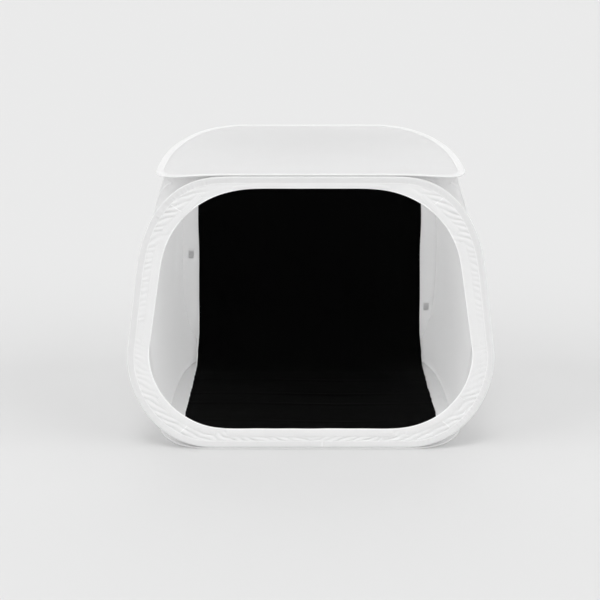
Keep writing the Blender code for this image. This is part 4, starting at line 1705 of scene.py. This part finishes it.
@dataclass
class Patch:
    """A small stitched patch of hook-and-loop on the back panel."""

    node: str
    x: float
    z: float
    y: float = 0.6045
    width: float = 0.024
    height: float = 0.036
    look: str = "patch"
    thickness: float = 0.0012
    corner_pull: float = 0.02
    edge_fall: float = 0.0002

    def build(self) -> Piece:
        """The patch: a plate with soft corners, as a squircle carried to a flat grid.

        Returns:
            The patch.
        """
        u, v = np.meshgrid(*[np.linspace(-1.0, 1.0, 15)] * 2)
        x = self.x + self.width / 2 * u * (1.0 - self.corner_pull * v**8)
        z = self.z + self.height / 2 * v * (1.0 - self.corner_pull * u**8)
        y = self.y + self.edge_fall * np.maximum(np.abs(u), np.abs(v)) ** 12
        skin = grid_skin(np.stack([x, y, z], axis=-1)).thick(self.thickness)
        return sew(f"{self.node}_loops", skin, self.look, "back", self.node)


@dataclass
class Tacks:
    """Bar tacks: short dense rows of thread across a sleeve, where its ends are closed."""

    spots: tuple[tuple[str, float, bool], ...] = (
        ("floor", 0.015, False), ("front", 0.046, False), ("top", 0.018, True),
    )
    length: float = 0.020
    overhang: float = 0.0015
    width: float = 0.0022
    height: float = 0.0010
    sink_share: float = 0.4

    def build(self) -> dict[str, Piece]:
        """A small oval cushion of thread at each spot, on the face that looks out.

        Returns:
            The tacks by hoop.
        """
        tacks = {}
        turn = np.linspace(0.0, math.pi, 9)[:, None]
        depth = np.linspace(-self.overhang, self.length, 24)
        fall = smooth((depth - 0.003) / 0.0215)
        base = TENT.half_thickness + (TENT.lip_half - TENT.half_thickness) * fall
        for name, x, at_high in self.spots:
            outline = HOOPS[name].outline
            flat = np.empty((len(turn), len(depth), 2))
            flat[..., 0] = x + self.width * np.cos(turn)
            flat[..., 1] = outline.high - depth if at_high else outline.low + depth
            off = base[None] + self.height * (np.sin(turn) - self.sink_share)
            facing = -1.0 if name == "floor" else 1.0
            skin = grid_skin(HOOPS[name].at(flat, facing * off), rows_close=True).outward()
            tacks[name] = sew(f"{name}_bar_tack", skin, "binding", name)
        return tacks


@dataclass(frozen=True)
class Sun:
    """A lamp that shines evenly from far away, its angles in degrees.

    azimuth goes from the front towards the right, and width is how wide the lamp looks.
    """

    name: str
    azimuth: float
    height: float
    strength: float
    width: float

    def build(self) -> None:
        """Hangs the lamp and turns it to the tent."""
        lamp = bpy.data.lights.new(self.name, "SUN")
        lamp.energy, lamp.angle = self.strength, math.radians(self.width)
        obj = bpy.data.objects.new(self.name, lamp)
        bpy.context.scene.collection.objects.link(obj)
        turn, rise = math.radians(self.azimuth), math.radians(self.height)
        level = math.cos(rise)
        place = Vector((math.sin(turn) * level, -math.cos(turn) * level, math.sin(rise)))
        obj.rotation_euler = place.to_track_quat("Z", "Y").to_euler()


@dataclass
class Studio:
    """A pale floor, soft light and the photograph's camera."""

    floor_half: float = 60.0
    floor_colour: str = "#d4d4d4"
    far_colour: str = "#eaeaea"
    sky: float = 0.49
    suns: tuple[Sun, ...] = (
        Sun("front", -6.0, 24.0, 0.36, 30.0),
        Sun("left", -72.0, 27.0, 1.18, 60.0),
        Sun("right", 72.0, 27.0, 1.18, 60.0),
        Sun("behind", 178.0, 46.0, 0.80, 80.0),
        Sun("over", -6.0, 66.0, 0.66, 22.0),
    )
    lens: float = 90.2
    sensor: float = 36.0
    far_clip: float = 200.0
    camera_place: tuple[float, float, float] = (-0.042, -6.254, 2.2007)
    tilt: float = 15.628

    def build(self) -> None:
        """Makes the floor, the light and the camera."""
        paper = bpy.data.materials.new("studio_floor")
        paper.use_nodes = True
        matt = {"Roughness": 0.95, "Specular IOR Level": 0.0}
        shader = paper.node_tree.nodes["Principled BSDF"]
        fill(shader, {"Base Color": linear(self.floor_colour), **matt})
        square = np.array([(-1.0, -1.0, 0.0), (1.0, -1.0, 0.0), (1.0, 1.0, 0.0), (-1.0, 1.0, 0.0)])
        skin = Skin(square * self.floor_half, [np.array([(0, 1, 2, 3)])])
        put("studio_floor", skin, paper)
        scene = bpy.context.scene
        scene.world = bpy.data.worlds.new("studio_air")
        scene.world.use_nodes = True
        tree = scene.world.node_tree
        light = tree.nodes["Background"]
        fill(light, {"Strength": self.sky, "Color": (1.0, 1.0, 1.0, 1.0)})
        seen = add_node(tree, "Background", {"Color": linear(self.far_colour)})
        straight = add_node(tree, "LightPath", {}).outputs["Is Camera Ray"]
        pair = {0: straight, 1: light.outputs[0], 2: seen.outputs[0]}
        fill(tree.nodes["World Output"], {"Surface": add_node(tree, "MixShader", pair).outputs[0]})
        for sun in self.suns:
            sun.build()
        camera = bpy.data.cameras.new("camera")
        camera.lens, camera.sensor_width = self.lens, self.sensor
        camera.clip_end = self.far_clip
        scene.camera = bpy.data.objects.new("camera", camera)
        scene.collection.objects.link(scene.camera)
        scene.camera.location = self.camera_place
        scene.camera.rotation_euler = (math.radians(90.0 - self.tilt), 0.0, 0.0)
        scene.view_settings.view_transform = "Standard"


def paint_ferrules() -> None:
    """Gives the CAD ferrules their metal."""
    for name in HOOPS:
        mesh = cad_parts[f"{name}_hoop_ferrule"].data
        mesh.materials.clear()
        mesh.materials.append(finish("aluminium"))


def main() -> None:
    """Builds the tent's cloth in order, then the studio."""
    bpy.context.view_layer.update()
    paint_ferrules()
    tacks = Tacks().build()
    for seed, (name, hoop) in enumerate(HOOPS.items()):
        Wire(hoop, joint_high=name == "top").build()
        puckered = {"tick": 0.0012, "columns": 1600} if hoop.lie is Lie.LEVEL else {}
        sewn = [tacks[name]] if name in tacks else []
        Sleeve(hoop, seed=100 + 10 * seed, **puckered).build(sewn)
    loops, hooks = [], []
    for word, x in (("left", -0.44), ("middle", 0.0), ("right", 0.44)):
        place, size = (x, 0.884), (0.050, 0.025)
        loops.append(Patch(f"loop_patch_{word}", *place, 0.6045, *size, "tape").build())
        hooks.append(Patch(f"hook_patch_{word}", *place, 0.6030, *size).build())
    left = Patch("side_patch_left", -0.553, 0.505).build()
    right = Patch("side_patch_right", 0.556, 0.250).build()
    pulled = {"pull": -0.0030, "pull_length": 0.020, "pull_fade": 30.0, "columns": 1000}
    Panel(HOOPS["floor"], "floor", inwards_only=True, rings=44, seed=21, **pulled).build()
    back = Panel(HOOPS["back"], inwards_only=True, swell_height=0.0012, seed=22)
    back.build((*loops, left, right))
    Panel(HOOPS["top"], sag=0.010, swell_height=0.0012, seed=23).build()
    FrontBand().build()
    for side in Side:
        Wall(side).build()
    Backdrop().build(hooks, [loop.name for loop in loops])
    low, high = TENT.low_hinge, TENT.high_hinge
    front, back = TENT.front_hinge, TENT.back_hinge
    Web("front_floor_web", front, low, 1, 1, 0.399, ("floor", "front")).build()
    Web("back_floor_web", back, low, -1, 1, 0.419, ("floor", "back")).build()
    Web("back_top_web", back, high, -1, -1, 0.279, ("back", "top")).build()
    Web("front_top_web", front, high, 1, -1, 0.309, ("top",)).build()
    Studio().build()


if __name__ == "__main__":
    main()
